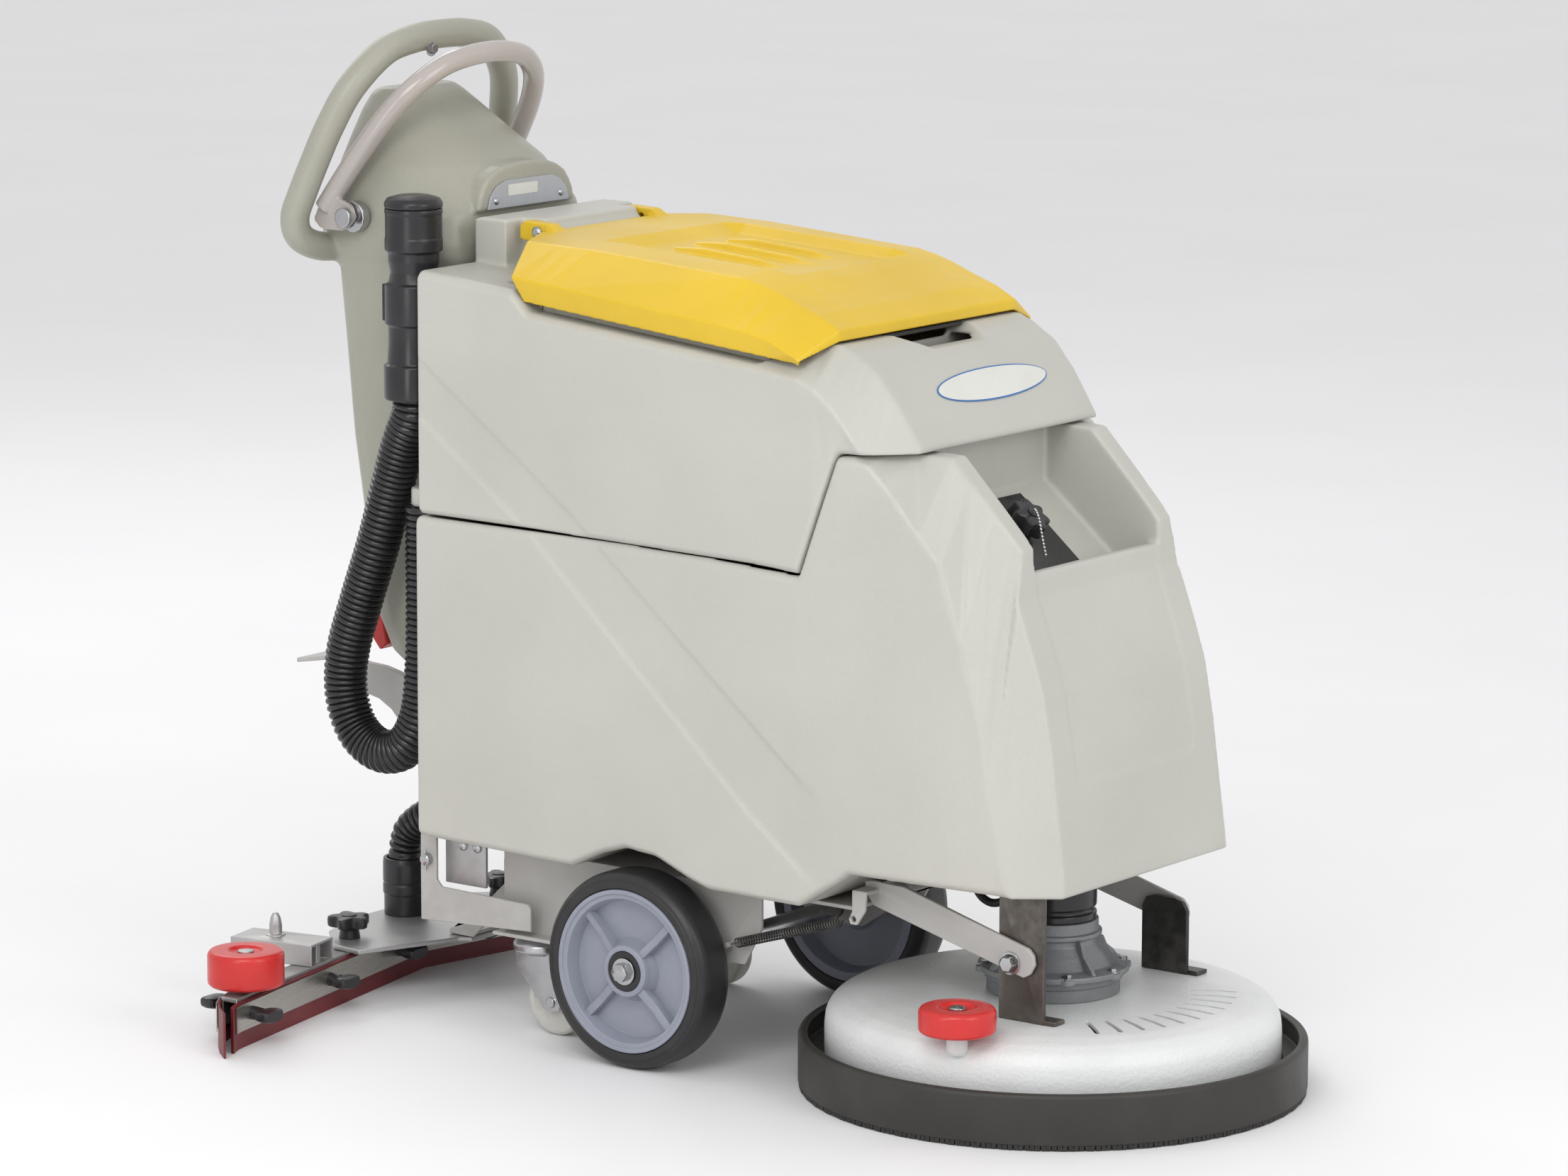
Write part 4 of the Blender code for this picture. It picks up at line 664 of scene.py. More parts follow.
# ---- tanks and lid -------------------------------------------------------------------
def front_recess():
    """Shallow panel in the front face, with round lower corners, open to the pocket above."""
    half, low, top = 0.1059, 0.336, 0.56
    corner, depth = 0.012, 0.0016
    sides = [(y, low + corner - math.sqrt(max(0, corner ** 2 - (abs(y) - half + corner) ** 2)))
             if abs(y) > half - corner else (y, low)
             for y in [-half + corner * (1 - math.cos(math.pi / 2 * k / 4)) for k in range(5)]]
    outline = sides + [(-y, z) for y, z in reversed(sides)]
    outline = [*outline, (half, top), (-half, top)]
    face = [(0.425, top), (0.425, 0.515), (0.436, 0.487), (0.4456, 0.461), (0.458, 0.424),
            (0.4686, 0.3675), (0.4769, 0.3064)]

    def front(z):
        for (x0, z0), (x1, z1) in zip(face, face[1:]):
            if z >= z1:
                return x0 + (x1 - x0) * (z0 - z) / (z0 - z1)
        return face[-1][0]
    levels = [*(z for _, z in face[:-1]), low + corner, low]
    profile = [(front(z) - depth, z) for z in levels] + [(0.52, low), (0.52, top)]
    wide = slab(profile, -half, half)
    keep = loft([[(0.4, y, z) for y, z in outline], [(0.53, y, z) for y, z in outline]])
    return shifted(wide), shifted(keep)


def tanks():
    wide, keep = front_recess()
    panel = carved(wide, keep, "INTERSECT")
    moulded("solution_tank", "tank", voxel=0.0025, keep=0.35, tool=panel)
    moulded("recovery_tank", "tank", voxel=0.0025, keep=0.35)
    refined("pocket_plate", "black_plastic", 0.0008, 20, 3)


def mouth():
    """Lips beside the mouth of the upper tank, its seal in front and its wall behind."""
    lip = [(-0.132, 0.745), (0.15, 0.72), (0.15, 0.7405), (-0.132, 0.767)]
    for label, side in SIDES.items():
        piece("mouth_lip_" + label, slab(lip, *sorted((0.169 * side, 0.1725 * side)), "Y", 0.001),
              "tank", "machine")
    rib = [(0.2095, 0.743), (0.2095, 0.7475), (0.213, 0.749), (0.215, 0.745)]
    seal = slab(soften(rib, 0.001), -0.069, 0.063)
    piece("mouth_seal", seal, "black_rubber", "machine")
    half = [(-0.187, 0.0, 0.815), (-0.187, 0.1, 0.815), (-0.1655, 0.146, 0.8105),
            (-0.15, 0.165, 0.798), (-0.138, 0.172, 0.788)]
    foot, thick = 0.745, 0.003
    wall = loft([[(x, y, foot), (x + thick, y, foot), (x + thick, y, z), (x, y, z)]
                 for x, y, z in both_sides(half)])
    piece("mouth_wall", wall, "tank", "machine")


def filler_cap():
    """Lobed cap on the sloping floor of the pocket, and the bead chain that keeps it."""
    tilt = Matrix.Rotation(math.atan2(0.64, 0.768), 4, "Y")
    axis = tilt.to_3x3() @ Vector((0, 0, 1))
    base = Vector((0.285 + 0.768 * 0.0552, 0.0, 0.5894 - 0.64 * 0.0552)) + axis * 0.0037
    star = lobed(0.0192, 0.0028, 7, 112)
    shrink = [(0.94, 0.008), (1.0, 0.0092), (1.0, 0.0215), (0.97, 0.0235), (0.88, 0.0245)]
    grip = loft([[(x * s, y * s, z) for x, y in star] for s, z in shrink])
    collar = turned([(0, 0), (0.0145, 0), (0.0135, 0.003), (0.0125, 0.009), (0, 0.009)],
                    (0, 0, 0), "Z", 48, 0.0006)
    stud = turned([(0, 0.024), (0.006, 0.024), (0.0055, 0.0262), (0, 0.0266)], (0, 0, 0), "Z",
                  32, 0.0006)
    place = Matrix.Translation(base) @ tilt
    piece("filler_cap_moulded", moved(join(grip, collar, stud), place), "black_plastic", "filler",
          replaces=["filler_cap"])
    start = base + axis * 0.0262
    chain = [start, start + Vector((0.006, -0.006, 0.003)), start + Vector((0.016, -0.014, -0.004)),
             start + Vector((0.026, -0.022, -0.022)), start + Vector((0.034, -0.028, -0.036))]
    bead = 0.0016
    rim = [(bead * math.cos(t), bead * math.sin(t)) for t in
           [math.pi * (k / 6 - 0.5) for k in range(1, 6)]]
    beads = [turned([(0, -bead), *rim, (0, bead)], tuple(point), "Z", 12)
             for point in smooth_route(chain, 17)]
    link = pipe(smooth_route(chain, 34), 0.0004, 8)
    piece("cap_chain", join(*beads, link), "bead", "machine")


def lid():
    """The lid with three low ribs along its tray, and its hinge pins."""
    wide, tall, steps = 0.006, 0.005, 12

    def tray(x):
        return 0.819 - 0.0812 * (x + 0.027) - 0.0098
    ribs = []
    for y, x0, x1 in ((-0.045, -0.062, 0.076), (0.0, -0.07, 0.084), (0.045, -0.062, 0.076)):
        rings = []
        for k in range(steps + 1):
            t = k / steps
            taper = min(1.0, 4 * t + 0.05, 4 * (1 - t) + 0.05)
            x, z = x0 + (x1 - x0) * t, tray(x0) + (tray(x1) - tray(x0)) * t
            rings.append([(x, y + wide * math.cos(a), z + tall * taper * math.sin(a))
                          for a in (math.pi * j / 8 for j in range(9))]
                         + [(x, y - wide, z - 0.002), (x, y + wide, z - 0.002)])
        ribs.append(loft(rings))
    moulded("lid", "lid", voxel=0.0015, keep=0.4, extra=shifted(join(*ribs)))
    for label, side in SIDES.items():
        pin = hex_bolt((-0.205, 0.0928 * side, 0.8205), "Y", side, 0.0042, 0.003, 0.0062)
        piece("hinge_pin_" + label, pin, "zinc", "machine")


# ---- column, console and handles -----------------------------------------------------
def rounded_ring(x0, x1, half, corner, z, nose):
    """A level ring with round corners, its front ones of another radius."""
    steps = 9
    ring = []
    centres = [(x1 - nose, half - nose, 0, nose), (x0 + corner, half - corner, 90, corner),
               (x0 + corner, -half + corner, 180, corner), (x1 - nose, -half + nose, 270, nose)]
    for cx, cy, start, radius in centres:
        for step in range(steps + 1):
            a = math.radians(start + 90 * step / steps)
            ring.append((cx + radius * math.cos(a), cy + radius * math.sin(a), z))
    return ring


def console():
    # z, x of the front, half width, back corner radius, front corner radius
    sections = [(0.77, -0.3, 0.114, 0.03, 0.03), (0.786, -0.296, 0.121, 0.032, 0.034),
                (0.8, -0.296, 0.123, 0.034, 0.04), (0.832, -0.3, 0.12, 0.034, 0.048),
                (0.8765, -0.312, 0.106, 0.036, 0.085), (0.905, -0.35, 0.092, 0.036, 0.08),
                (0.929, -0.389, 0.074, 0.028, 0.05), (0.944, -0.412, 0.06, 0.018, 0.03),
                (0.9505, -0.424, 0.052, 0.01, 0.02)]
    rings = []
    for z, front, half, corner, nose in sections:
        back = -0.47 if z < 0.78 else -0.486 + 0.14 * (z - 0.8)
        if z > 0.94:
            back += (z - 0.94) * 0.9
        rings.append(rounded_ring(back, front, half, corner, z, nose))
    hood = loft(rings)
    arch = [(-0.079, 0.8325), (0.079, 0.8325), (0.0775, 0.842), (0.0745, 0.85), (0.069, 0.859),
            (0.062, 0.8665), (0.052, 0.8725), (0.04, 0.8765), (0.02, 0.8792), (0.0, 0.88)]
    arch += [(-y, z) for y, z in reversed(arch[1:-1])][:-1]
    frame_block = loft([[(-0.345, y, z) for y, z in arch], [(-0.2932, y, z) for y, z in arch]])
    half_loop = [(-0.409, 0.0, 1.0048), (-0.4095, 0.045, 1.0025), (-0.414, 0.086, 0.9915),
                 (-0.4262, 0.1235, 0.9568), (-0.44, 0.141, 0.918), (-0.4511, 0.1498, 0.8858),
                 (-0.464, 0.1565, 0.85), (-0.4735, 0.159, 0.823), (-0.4735, 0.152, 0.802),
                 (-0.466, 0.13, 0.7905), (-0.458, 0.098, 0.7885)]
    handle = pipe(smooth_route(both_sides(half_loop), 160), 0.0153, 28)
    lower = bmesh.new()
    lower.from_mesh(NODES["column"].data)
    bmesh.ops.remove_doubles(lower, verts=lower.verts, dist=2e-5)
    top = max(v.co.z for v in lower.verts)
    for v in lower.verts:
        if v.co.z > top - 1e-4:
            v.co.z += 0.002
    whole = blended(join(lower, shifted(join(hood, frame_block, handle))), 0.0026, 5, 0.5)
    piece("console_moulded", whole, "console", "machine", replaces=["console", "column"], sharp=180,
          shift=False)


def name_plate():
    """Blank plate on the console's arch, with its two screws."""
    refined("name_plate", "name_plate", 0.0004, 20, 3)
    label = slab(soften([(-0.034, 0.8465), (0.014, 0.8465), (0.014, 0.858), (-0.034, 0.858)],
                        0.001), -0.2909, -0.2906, "X")
    piece("serial_label", label, "label", "machine")
    for k, y in enumerate((-0.053, 0.053)):
        piece(f"plate_screw_{k}", dome((-0.2909, y, 0.8425), "X", 1, 0.0038, 0.002), "zinc",
              "machine")


def bail():
    """The bar inside the handle, its end blocks and the stop bolt on the handle."""
    piece("bail_stop", hex_bolt((-0.3965, -0.03, 0.9925), "X", 1, 0.006, 0.005, 0.0085), "zinc",
          "machine")
    half = [(-0.3423, 0.0, 0.99), (-0.344, 0.035, 0.9875), (-0.35, 0.068, 0.979),
            (-0.364, 0.0985, 0.958), (-0.385, 0.1185, 0.927), (-0.414, 0.1305, 0.885),
            (-0.435, 0.136, 0.854), (-0.45, 0.1385, 0.832)]
    bar = pipe(smooth_route(both_sides(half), 140), 0.0112, 32)
    foot = soften([(-0.462, 0.82), (-0.452, 0.811), (-0.42, 0.811), (-0.407, 0.8248),
                   (-0.413, 0.838), (-0.435, 0.846), (-0.45, 0.842)], 0.005)
    feet = [slab(foot, *sorted((0.1362 * s, 0.1428 * s)), "Y", 0.0008) for s in SIDES.values()]
    whole = blended(join(bar, *feet), 0.0014, 3)
    piece("bail_moulded", whole, "bail_paint", "bail", replaces=["bail_bar"], sharp=180)
    for label in SIDES:
        refined("bail_block_" + label, "zinc", 0.0012, 25, 3)


def controls():
    refined("control_panel", "black_plastic", 0.001, 20, 3)
    refined("key_switch", "zinc", 0.0004)
    refined("start_button", "red_plastic", 0.001)
    refined("battery_connector", "red_plastic", 0.0022, 20, 3)
    refined("vacuum_motor", "black_plastic", 0.0008, 20, 3)


# ---- badge -----------------------------------------------------------------------------
def badge():
    """Blank oval badge that follows the sloping nose of the upper tank."""
    top, low = Vector((0.275, 0, 0.7145)), Vector((0.306, 0, 0.673))
    down = (low - top).normalized()
    normal = Vector((-down.z, 0, down.x))
    centre = top.lerp(low, 0.4) + Vector((AXLE_X, 0.01, 0))
    tank = BVHTree.FromPolygons([v.co.copy() for v in NODES["recovery_tank"].data.vertices],
                                [tuple(p.vertices) for p in NODES["recovery_tank"].data.polygons])

    def skin(u, v, lift):
        start = centre + Vector((0, u, 0)) + down * v + normal * 0.05
        hit = tank.ray_cast(start, -normal)[0]
        return hit + normal * lift

    def oval(width, height, lift, depth, rings=8, spokes=96):
        bm = bmesh.new()
        layers = []
        for level in (lift, lift + depth):
            grid = [[bm.verts.new(skin(0, 0, level))]]
            for k in range(1, rings + 1):
                grid.append([bm.verts.new(skin(width * k / rings * math.cos(a),
                                               height * k / rings * math.sin(a), level))
                             for a in (2 * math.pi * j / spokes for j in range(spokes))])
            layers.append(grid)
        for grid in layers:
            for j in range(spokes):
                m = (j + 1) % spokes
                bm.faces.new((grid[0][0], grid[1][j], grid[1][m]))
                for one, two in zip(grid[1:], grid[2:]):
                    bm.faces.new((one[j], two[j], two[m], one[m]))
        lower, upper = layers[0][-1], layers[1][-1]
        for j in range(spokes):
            m = (j + 1) % spokes
            bm.faces.new((lower[j], lower[m], upper[m], upper[j]))
        return bm
    piece("badge_rim", oval(0.093, 0.0182, 0.0002, 0.0008), "badge_blue", "machine",
          shift=False)
    piece("badge_face", oval(0.0912, 0.0166, 0.001, 0.0003), "label", "machine",
          shift=False)


# ---- wheels ----------------------------------------------------------------------------
def flip(profile, side):
    return profile if side > 0 else [(r, -h) for r, h in reversed(profile)]


def wheels():
    half = 0.0245
    for label, side in SIDES.items():
        centre = (0, 0.1895 * side, WHEEL_Z)
        tyre = [(0.0839, -half + 0.001), (0.09, -half), (0.0955, -half + 0.001),
                (0.0995, -half + 0.005), (WHEEL_Z, -half + 0.012), (WHEEL_Z, half - 0.012),
                (0.0995, half - 0.005), (0.0955, half - 0.001), (0.0935, half - 0.0006),
                (0.0928, half - 0.0012), (0.092, half - 0.0006), (0.09, half),
                (0.0839, half - 0.001)]
        piece("tyre_round_" + label, turned(flip(tyre, side), centre, "Y", 144, 0.002), "tyre",
              "wheel_" + label, replaces=["tyre_" + label], sharp=60)
        rim = [(0.0104, -half), (0.024, -half), (0.026, -0.014), (0.031, -0.006), (0.07, -0.006),
               (0.0735, -half), (0.0835, -half), (0.0835, half), (0.079, half),
               (0.0785, half - 0.0022), (0.074, half - 0.0022), (0.07, 0.006), (0.033, 0.007),
               (0.028, 0.016), (0.0262, half - 0.002), (0.021, half - 0.0012),
               (0.0208, half - 0.004), (0.0104, half - 0.004)]
        shape = turned(flip(rim, side), centre, "Y", 144, 0.001)
        ribs = []
        for k in range(4):
            profile = [(0.022, -0.0045), (0.0745, -0.0045), (0.0745, 0.0175), (0.05, 0.0165),
                       (0.022, 0.0205)]
            rib = slab(soften(profile, 0.002), -0.0042, 0.0042, "Y", 0.0014)
            # (radius, height) laid out along X and Z, then turned onto the wheel's axis
            turn = Matrix.Rotation(math.radians(45 + 90 * k), 4, "Z")
            lay = Matrix.Rotation(-math.pi / 2 * side, 4, "X")
            ribs.append(moved(rib, Matrix.Translation(centre) @ lay @ turn))
        piece("rim_moulded_" + label, join(shape, *ribs), "rim", "wheel_" + label,
              replaces=["wheel_rim_" + label])
        bearing = [(0.0106, half - 0.0046), (0.0204, half - 0.0046), (0.0204, half - 0.0022),
                   (0.0165, half - 0.0016), (0.0106, half - 0.0022)]
        piece("bearing_seal_" + label, turned(flip(bearing, side), centre, "Y", 64, 0.0004),
              "black_plastic", "wheel_" + label)
    shaft = turned([(0, -0.2134), (0.0099, -0.2134), (0.0099, 0.2134), (0, 0.2134)],
                   (0, 0, WHEEL_Z), "Y", 48, 0.0008)
    ends = []
    for side in SIDES.values():
        ends.append(hex_bolt((0, 0.2128 * side, WHEEL_Z), "Y", side, 0.0098, 0.0085, 0.0138))
    piece("axle_turned", join(shaft, *ends), "zinc", "machine", replaces=["axle"])


def casters():
    for label in SIDES:
        refined("caster_fork_" + label, "zinc", 0.001, 30, 3)
        hub = middle("caster_wheel_" + label)
        wheel = [(0, -0.0125), (0.009, -0.0125), (0.011, -0.009), (0.026, -0.009), (0.028, -0.011),
                 (0.0325, -0.011), (0.0355, -0.0085), (0.036, -0.005), (0.036, 0.005),
                 (0.0355, 0.0085), (0.0325, 0.011), (0.028, 0.011), (0.026, 0.009), (0.011, 0.009),
                 (0.009, 0.0125), (0, 0.0125)]
        piece("caster_tread_" + label, turned(wheel, tuple(hub), "Y", 64, 0.0008), "caster_white",
              "caster_roll_" + label, replaces=["caster_wheel_" + label], shift=False)


# ---- frame -----------------------------------------------------------------------------
def framework():
    refined("chassis_frame", "grey_paint", 0.0009)
    for label, side in SIDES.items():
        refined("rear_hanger_" + label, "grey_paint", 0.001)
        face = 0.1727 * side
        # inner plate seen through the hanger's step, with its two bolts and the clevis pin
        plate = block(-0.276, -0.222, *sorted((0.156 * side, 0.16 * side)), 0.146, 0.199)
        piece("step_plate_" + label, plate, "plate_steel", "machine")
        for k, (x, z) in enumerate(((-0.252, 0.188), (-0.233, 0.188))):
            piece(f"step_bolt_{label}_{k}", dome((x, 0.16 * side, z), "Y", side, 0.006, 0.004),
                  "zinc", "machine")
        pin = turned([(0, 0), (0.0062, 0), (0.0062, 0.006), (0.0048, 0.0075), (0, 0.008)],
                     (0, 0, 0), "Z", 32, 0.0006)
        aim = Matrix.Rotation(-math.pi / 2 * side, 4, "X")
        piece("hanger_pin_" + label, moved(pin, Matrix.Translation((-0.2885, face, 0.171)) @ aim),
              "zinc", "machine")
        y = face + 0.004 * side
        bent = [(-0.2885, y, 0.16), (-0.2875, y, 0.171), (-0.2895, y, 0.181)]
        cotter = pipe(smooth_route(bent, 12), 0.0009, 8)
        piece("hanger_cotter_" + label, cotter, "zinc", "machine")
    refined("deck_arms", "grey_paint", 0.001)
    refined("squeegee_link", "grey_paint", 0.001)
    refined("lift_pedal", "grey_paint", 0.0014)
    refined("battery_pack", "black_plastic", 0.003)
    coil_spring()


def coil_spring():
    """The coil that draws the deck down, with a short straight tail at each end."""
    low, high = Vector((0.094, -0.1583, 0.1331)), Vector((0.238, -0.1583, 0.178))
    along = (high - low).normalized()
    side = Vector((0, 1, 0))
    up = along.cross(side)
    length = (high - low).length
    start, end, radius, turns = 0.007, length - 0.011, 0.0046, 40
    steps = turns * 14
    points = [low, low + along * 0.003]
    for i in range(steps + 1):
        t = i / steps
        a = 2 * math.pi * turns * t
        points.append(low + along * (start + (end - start) * t)
                      + radius * (math.cos(a) * side + math.sin(a) * up))
    points += [high - along * 0.004, high]
    piece("spring_coil", pipe(points, 0.0008, 8), "black_steel", "machine",
          ["tension_spring"], 60)


# ---- brush deck ------------------------------------------------------------------------
def deck():
    """The slotted cover, the splash ring and the bumper roller on its boss."""
    centre = (DECK_X, 0, 0)
    cover = [(0.0605, 0.099), (0.165, 0.099), (0.19, 0.0975), (0.208, 0.0935), (0.22, 0.0865),
             (0.2262, 0.076), (0.2276, 0.064), (0.2276, 0.028), (0.2236, 0.028), (0.2236, 0.063),
             (0.2222, 0.074), (0.2168, 0.0832), (0.2062, 0.0896), (0.189, 0.0934), (0.1645, 0.095),
             (0.0605, 0.095)]
    dome_shape = turned(cover, centre, "Z", 192, 0.004)
    slots = []
    for i in range(11):
        angle = math.radians(-42 + 7.6 * i)
        outline = [(0.138, -0.0026), (0.181, -0.0026), (0.184, 0.0), (0.181, 0.0026),
                   (0.138, 0.0026), (0.135, 0.0)]
        slot = slab(soften(outline, 0.002), 0.085, 0.106, "Z")
        slots.append(moved(slot, Matrix.Translation(centre) @ Matrix.Rotation(angle, 4, "Z")))
    opened = carved(shifted(dome_shape), shifted(join(*slots)))
    piece("deck_cover_moulded", opened, "deck_white", "deck", replaces=["deck_cover"], sharp=35,
          shift=False)
    roller = middle("deck_roller")
    spot = (roller.x, roller.y, 0)
    boss = [(0.009, 0.082), (0.0105, 0.086), (0.0105, 0.103), (0, 0.103), (0, 0.082)]
    piece("roller_boss", turned(boss, spot, "Z", 48, 0.0006), "deck_white", "deck", shift=False)
    stud = [(0, 0.102), (0.005, 0.1031), (0.005, 0.1268), (0.0085, 0.1268), (0.0085, 0.1284),
            (0.006, 0.1296), (0, 0.1296)]
    piece("roller_stud", turned(stud, spot, "Z", 48, 0.0005), "zinc", "deck", shift=False)
    ring = [(0.246, 0.0055), (0.254, 0.0055), (0.254, 0.052), (0.2525, 0.055), (0.248, 0.0562),
            (0.2445, 0.0545), (0.2445, 0.0515), (0.2465, 0.05), (0.2465, 0.034), (0.2279, 0.034),
            (0.2279, 0.03), (0.246, 0.03)]
    piece("splash_ring_moulded", turned(ring, centre, "Z", 192, 0.0016), "black_rubber", "deck",
          replaces=["splash_ring"], sharp=50)
    wheel = [(0.0054, 0.104), (0.035, 0.104), (0.038, 0.1068), (0.038, 0.1255), (0.035, 0.1292),
             (0.019, 0.1298), (0.016, 0.1264), (0.0054, 0.1264)]
    piece("bumper_roller_moulded", turned(wheel, spot, "Z", 96, 0.0022), "red_plastic",
          "bumper_roller", replaces=["deck_roller"], shift=False)


def fringe():
    """Short bristles under the splash ring, in small tufts."""
    tufts = []
    count, outer, inner = 300, 0.253, 0.2466
    wide = math.pi / count * 0.86
    for i in range(count):
        a = 2 * math.pi * i / count
        lean = 0.012 * math.sin(i * 2.4)
        foot = [(outer, a - wide), (outer, a + wide), (inner, a + wide), (inner, a - wide)]
        tip = 0.0004 + 0.0009 * (0.5 + 0.5 * math.sin(i * 5.1))
        rings = [[(DECK_X + r * math.cos(t), r * math.sin(t), 0.0056) for r, t in foot],
                 [(DECK_X + r * math.cos(t + lean * 0.2), r * math.sin(t + lean * 0.2), tip)
                  for r, t in foot]]
        tufts.append(loft(rings))
    piece("skirt_fringe", join_many(tufts), "fringe", "deck", ["skirt_bristles"])


def brush():
    """Rows of bundles, each row set half a step off the last, under their plate."""
    bundles = []
    for row, radius in enumerate((0.075, 0.105, 0.135, 0.165, 0.193)):
        number = int(radius * 300)
        for i in range(number):
            a = 2 * math.pi * (i + 0.5 * (row % 2)) / number
            x, y = DECK_X + radius * math.cos(a), radius * math.sin(a)
            bundles.append(turned([(0, 0.0008), (0.0075, 0.0008), (0.005, 0.0517), (0, 0.0517)],
                                  (x, y, 0), "Z", 10))
    piece("brush_tufts", join_many(bundles), "bristle", "brush", replaces=["brush_bristles"])
    block_profile = [(0, 0.052), (0.205, 0.052), (0.205, 0.064), (0.055, 0.07), (0.012, 0.07),
                     (0.012, 0.094), (0, 0.094)]
    piece("brush_plate", turned(block_profile, (DECK_X, 0, 0), "Z", 96, 0.0015), "black_plastic",
          "brush", replaces=["brush_block"])


def brackets():
    for label, steel in (("right", "dark_steel"), ("left", "black_steel")):
        side = SIDES[label]
        refined("deck_bracket_" + label, steel, 0.0009)
        bolt = hex_bolt((0.4197, 0.1392 * side, 0.1577), "Y", side, 0.0088, 0.007, 0.0115)
        piece("arm_bolt_" + label, bolt, "zinc", "deck")


def drive():
    """Flanges, ribs and bolts of the reduction gear, and the motor above it."""
    centre = (DECK_X, 0, 0)
    body = [(0, 0.0993), (0.0665, 0.0993), (0.0665, 0.112), (0.069, 0.1135), (0.069, 0.12),
            (0.0755, 0.1205), (0.0755, 0.1262), (0.06, 0.1285), (0.052, 0.14), (0.0445, 0.15),
            (0.0445, 0.156), (0.048, 0.1568), (0.048, 0.1612), (0.0445, 0.162), (0.0445, 0.173),
            (0, 0.173)]
    shape = turned(body, centre, "Z", 96, 0.0012)
    extras = []
    for k in range(8):
        a = math.radians(22.5 + 45 * k)
        turn = Matrix.Translation(centre) @ Matrix.Rotation(a, 4, "Z")
        rib = slab([(0.043, 0.1262), (0.0735, 0.1262), (0.07, 0.131), (0.056, 0.142),
                    (0.05, 0.156), (0.043, 0.16)], -0.0022, 0.0022, "Y", 0.0006)
        extras.append(moved(rib, turn))
        lug = turned([(0, 0.1195), (0.0085, 0.1195), (0.0085, 0.125), (0, 0.125)],
                     (0.07, 0, 0), "Z", 20, 0.0008)
        extras.append(moved(lug, turn @ Matrix.Rotation(math.radians(22.5), 4, "Z")))
    piece("gearbox_cast", join(shape, *extras), "casting", "deck", replaces=["gearbox"])
    bolts = []
    for k in range(8):
        a = math.radians(45 + 45 * k)
        turn = Matrix.Translation(centre) @ Matrix.Rotation(a, 4, "Z")
        bolts.append(moved(hex_bolt((0.07, 0, 0.125), "Z", 1, 0.0048, 0.004, 0.0064), turn))
    piece("gearbox_bolts", join(*bolts), "zinc", "deck")
    motor = [(0, 0.1734), (0.0425, 0.1734), (0.0425, 0.18), (0.0405, 0.1815), (0.0405, 0.185),
             (0.0425, 0.1865), (0.0425, 0.29), (0.038, 0.3), (0, 0.3)]
    piece("drive_motor_turned", turned(motor, centre, "Z", 96, 0.0015), "black_plastic", "deck",
          replaces=["drive_motor"])


# ---- squeegee --------------------------------------------------------------------------
def v_line(y, offset):
    """x of a line parallel to the V; its ends sweep forward."""
    rear = offset > 0.02
    bend, sweep = (0.36, 9.6) if rear else (0.38, 9.0)
    return -0.437 + 0.2 * abs(y) + sweep * max(0.0, abs(y) - bend) ** 2 - offset


def wing_knob(y, offset, facing):
    """Round-winged knob on a strip's outer face."""
    x = v_line(y, offset)
    shank = turned(flip([(0, 0), (0.0072, 0), (0.0066, 0.0145), (0, 0.0145)], facing), (x, y, 0.0335),
                   "X", 24, 0.0006)
    wing = [(-0.015, -0.004), (-0.006, -0.0068), (0.006, -0.0068), (0.015, -0.004),
            (0.0155, 0.0058), (0.007, 0.0066), (-0.007, 0.0066), (-0.0155, 0.0058)]
    low, high = sorted((x + 0.0128 * facing, x + 0.0305 * facing))
    grip = loft([[(low + (high - low) * t, y + u * s, 0.0335 + w * s) for u, w in soften(wing, 0.004)]
                 for t, s in ((0, 0.72), (0.12, 0.9), (0.5, 1.0), (0.88, 0.94), (1, 0.8))])
    return [shank, grip]


def squeegee():
    """The plates, the blades, and the strips that clamp them with their wing knobs."""
    refined("squeegee_plate", "plate_steel", 0.0007)
    refined("port_plate", "plate_steel", 0.0012)
    refined("front_blade", "blade", 0.0006)
    refined("rear_blade", "blade", 0.0006)
    bottom, top, thick = 0.0185, 0.046, 0.0016
    for node, offset, facing, places, tip in (
            ("front_strip", 0.0, 1, (0.06, 0.205, 0.362), 0.396),
            ("rear_strip", 0.039, -1, (0.13, 0.35), 0.4)):
        inner = offset + thick * facing
        stations = sorted({s * y for y in (0.0, 0.36, 0.37, 0.38, 0.385, 0.392, tip)
                           for s in (-1, 1) if y <= tip})
        strip = loft([[(v_line(y, offset), y, bottom), (v_line(y, offset), y, top),
                       (v_line(y, inner), y, top), (v_line(y, inner), y, bottom)]
                      for y in stations])
        piece(node + "_rolled", strip, "stainless", "squeegee", replaces=[node])
        knobs = []
        for y in places:
            for side in SIDES.values():
                knobs += wing_knob(y * side, offset, facing)
        piece(node + "_knobs", join(*knobs), "black_plastic", "squeegee")


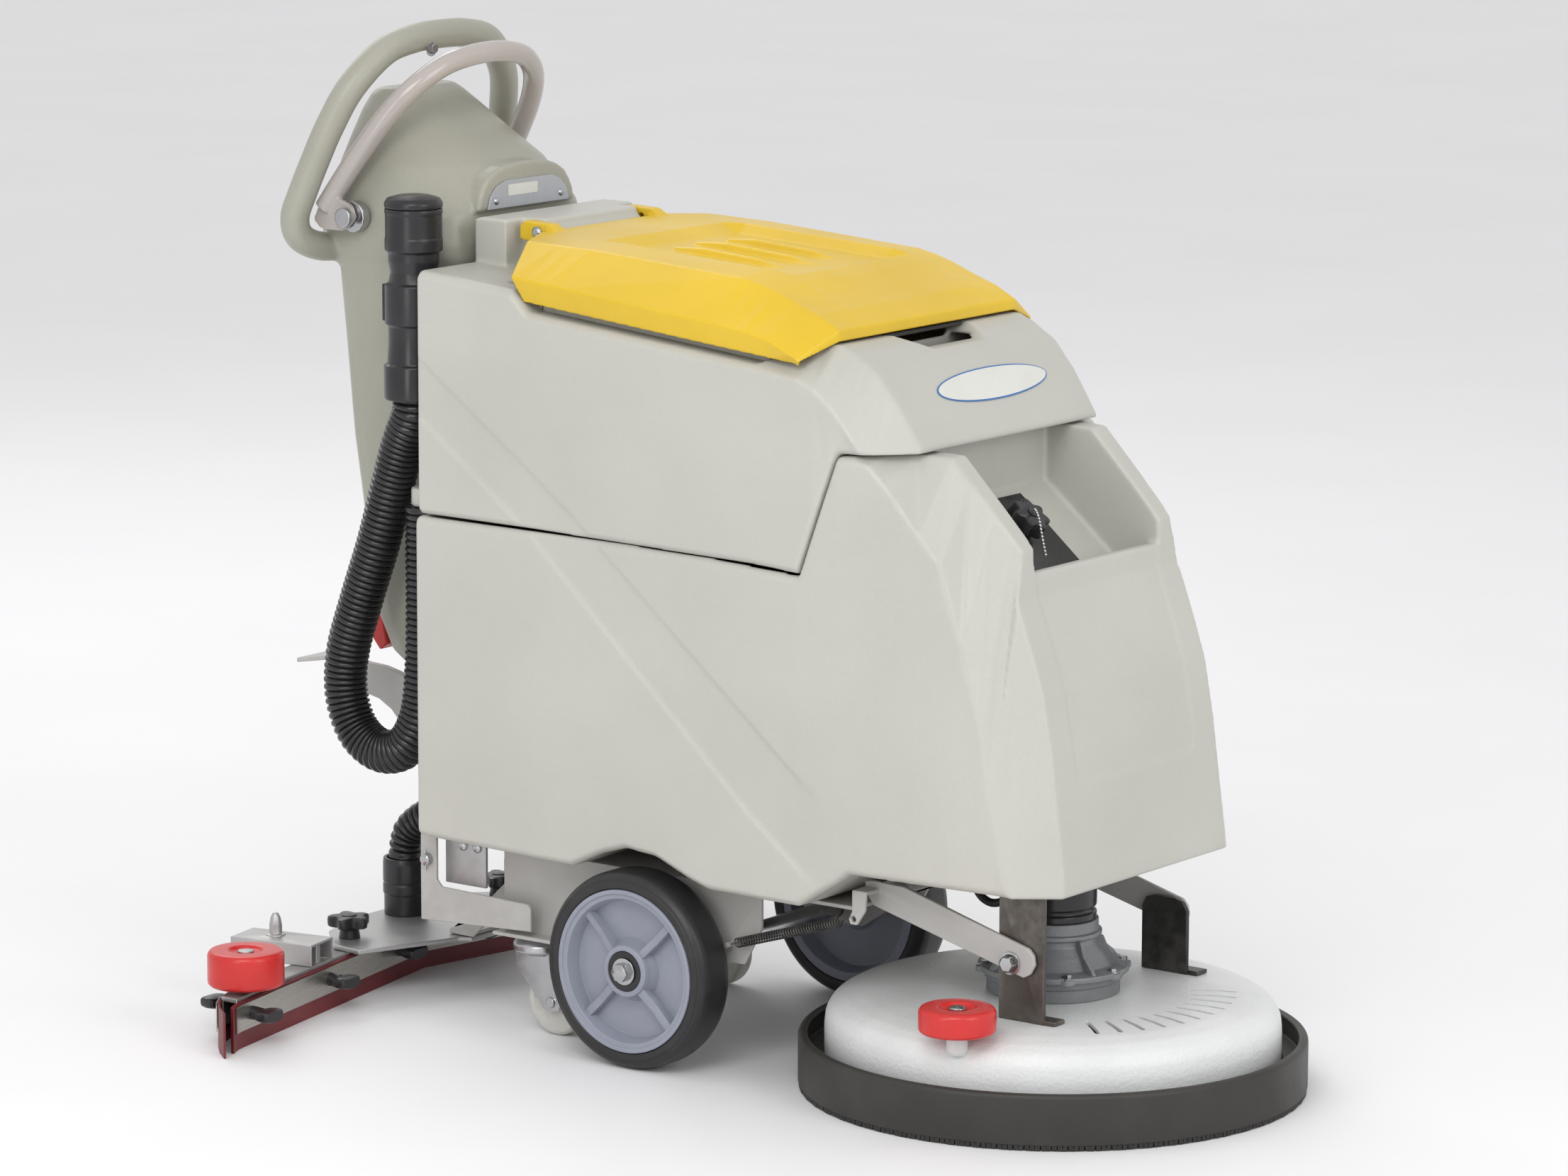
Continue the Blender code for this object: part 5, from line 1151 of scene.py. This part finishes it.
def knobs_and_rollers():
    """Star knobs on the port plate and guide rollers at the squeegee's ends."""
    for label in SIDES:
        spot = middle("star_knob_" + label)
        star = lobed(0.0195, 0.0038, 5, 100)
        grip = loft([[(spot.x + x * s, spot.y + y * s, z) for x, y in star]
                     for s, z in ((0.9, 0.069), (0.98, 0.0702), (1.0, 0.0725), (1.0, 0.078),
                                  (0.97, 0.08), (0.88, 0.081))])
        stem = turned([(0, 0.0572), (0.0115, 0.0572), (0.01, 0.066), (0.013, 0.0695),
                       (0, 0.0695)], (spot.x, spot.y, 0), "Z", 48, 0.0008)
        cap = turned([(0, 0.0805), (0.0085, 0.0805), (0.008, 0.0822), (0, 0.0828)],
                     (spot.x, spot.y, 0), "Z", 32, 0.0006)
        piece("star_knob_moulded_" + label, join(grip, stem, cap), "black_plastic", "knob_" + label,
              replaces=["star_knob_" + label], shift=False)
        roller = middle("squeegee_roller_" + label)
        wheel = [(0.0054, 0.0563), (0.0362, 0.0563), (0.0395, 0.0593), (0.0395, 0.0893),
                 (0.0367, 0.0933), (0.0181, 0.0938), (0.0157, 0.0903), (0.0054, 0.0903)]
        piece("guide_roller_moulded_" + label,
              turned(wheel, (roller.x, roller.y, 0), "Z", 96, 0.0022), "red_plastic",
              "guide_roller_" + label, replaces=["squeegee_roller_" + label], shift=False)


def ground():
    reach = FLOOR_REACH
    corners = [(-reach, -reach), (reach, -reach), (reach, reach), (-reach, reach)]
    shape = loft([[(x, y, z) for x, y in corners] for z in (-0.01, 0.0)])
    mesh = bpy.data.meshes.new("floor")
    shape.to_mesh(mesh)
    shape.free()
    floor = bpy.data.objects.new("floor", mesh)
    pale = Finish("floor", (255, 255, 255), 0.7)
    pale.colour = (0.86, 0.86, 0.87)
    pale.paint(0.01, 2, 0.0).grain(200, 0.0001, 0.1)
    floor.data.materials.append(pale.material)
    SCENE.collection.objects.link(floor)


def build():
    camera()
    studio()
    ground()
    drain_hose()
    suction_hose()
    motor_lead()
    tanks()
    mouth()
    filler_cap()
    lid()
    console()
    name_plate()
    bail()
    controls()
    badge()
    wheels()
    casters()
    framework()
    deck()
    fringe()
    brush()
    brackets()
    drive()
    squeegee()
    knobs_and_rollers()


FINISH = finishes()
build()
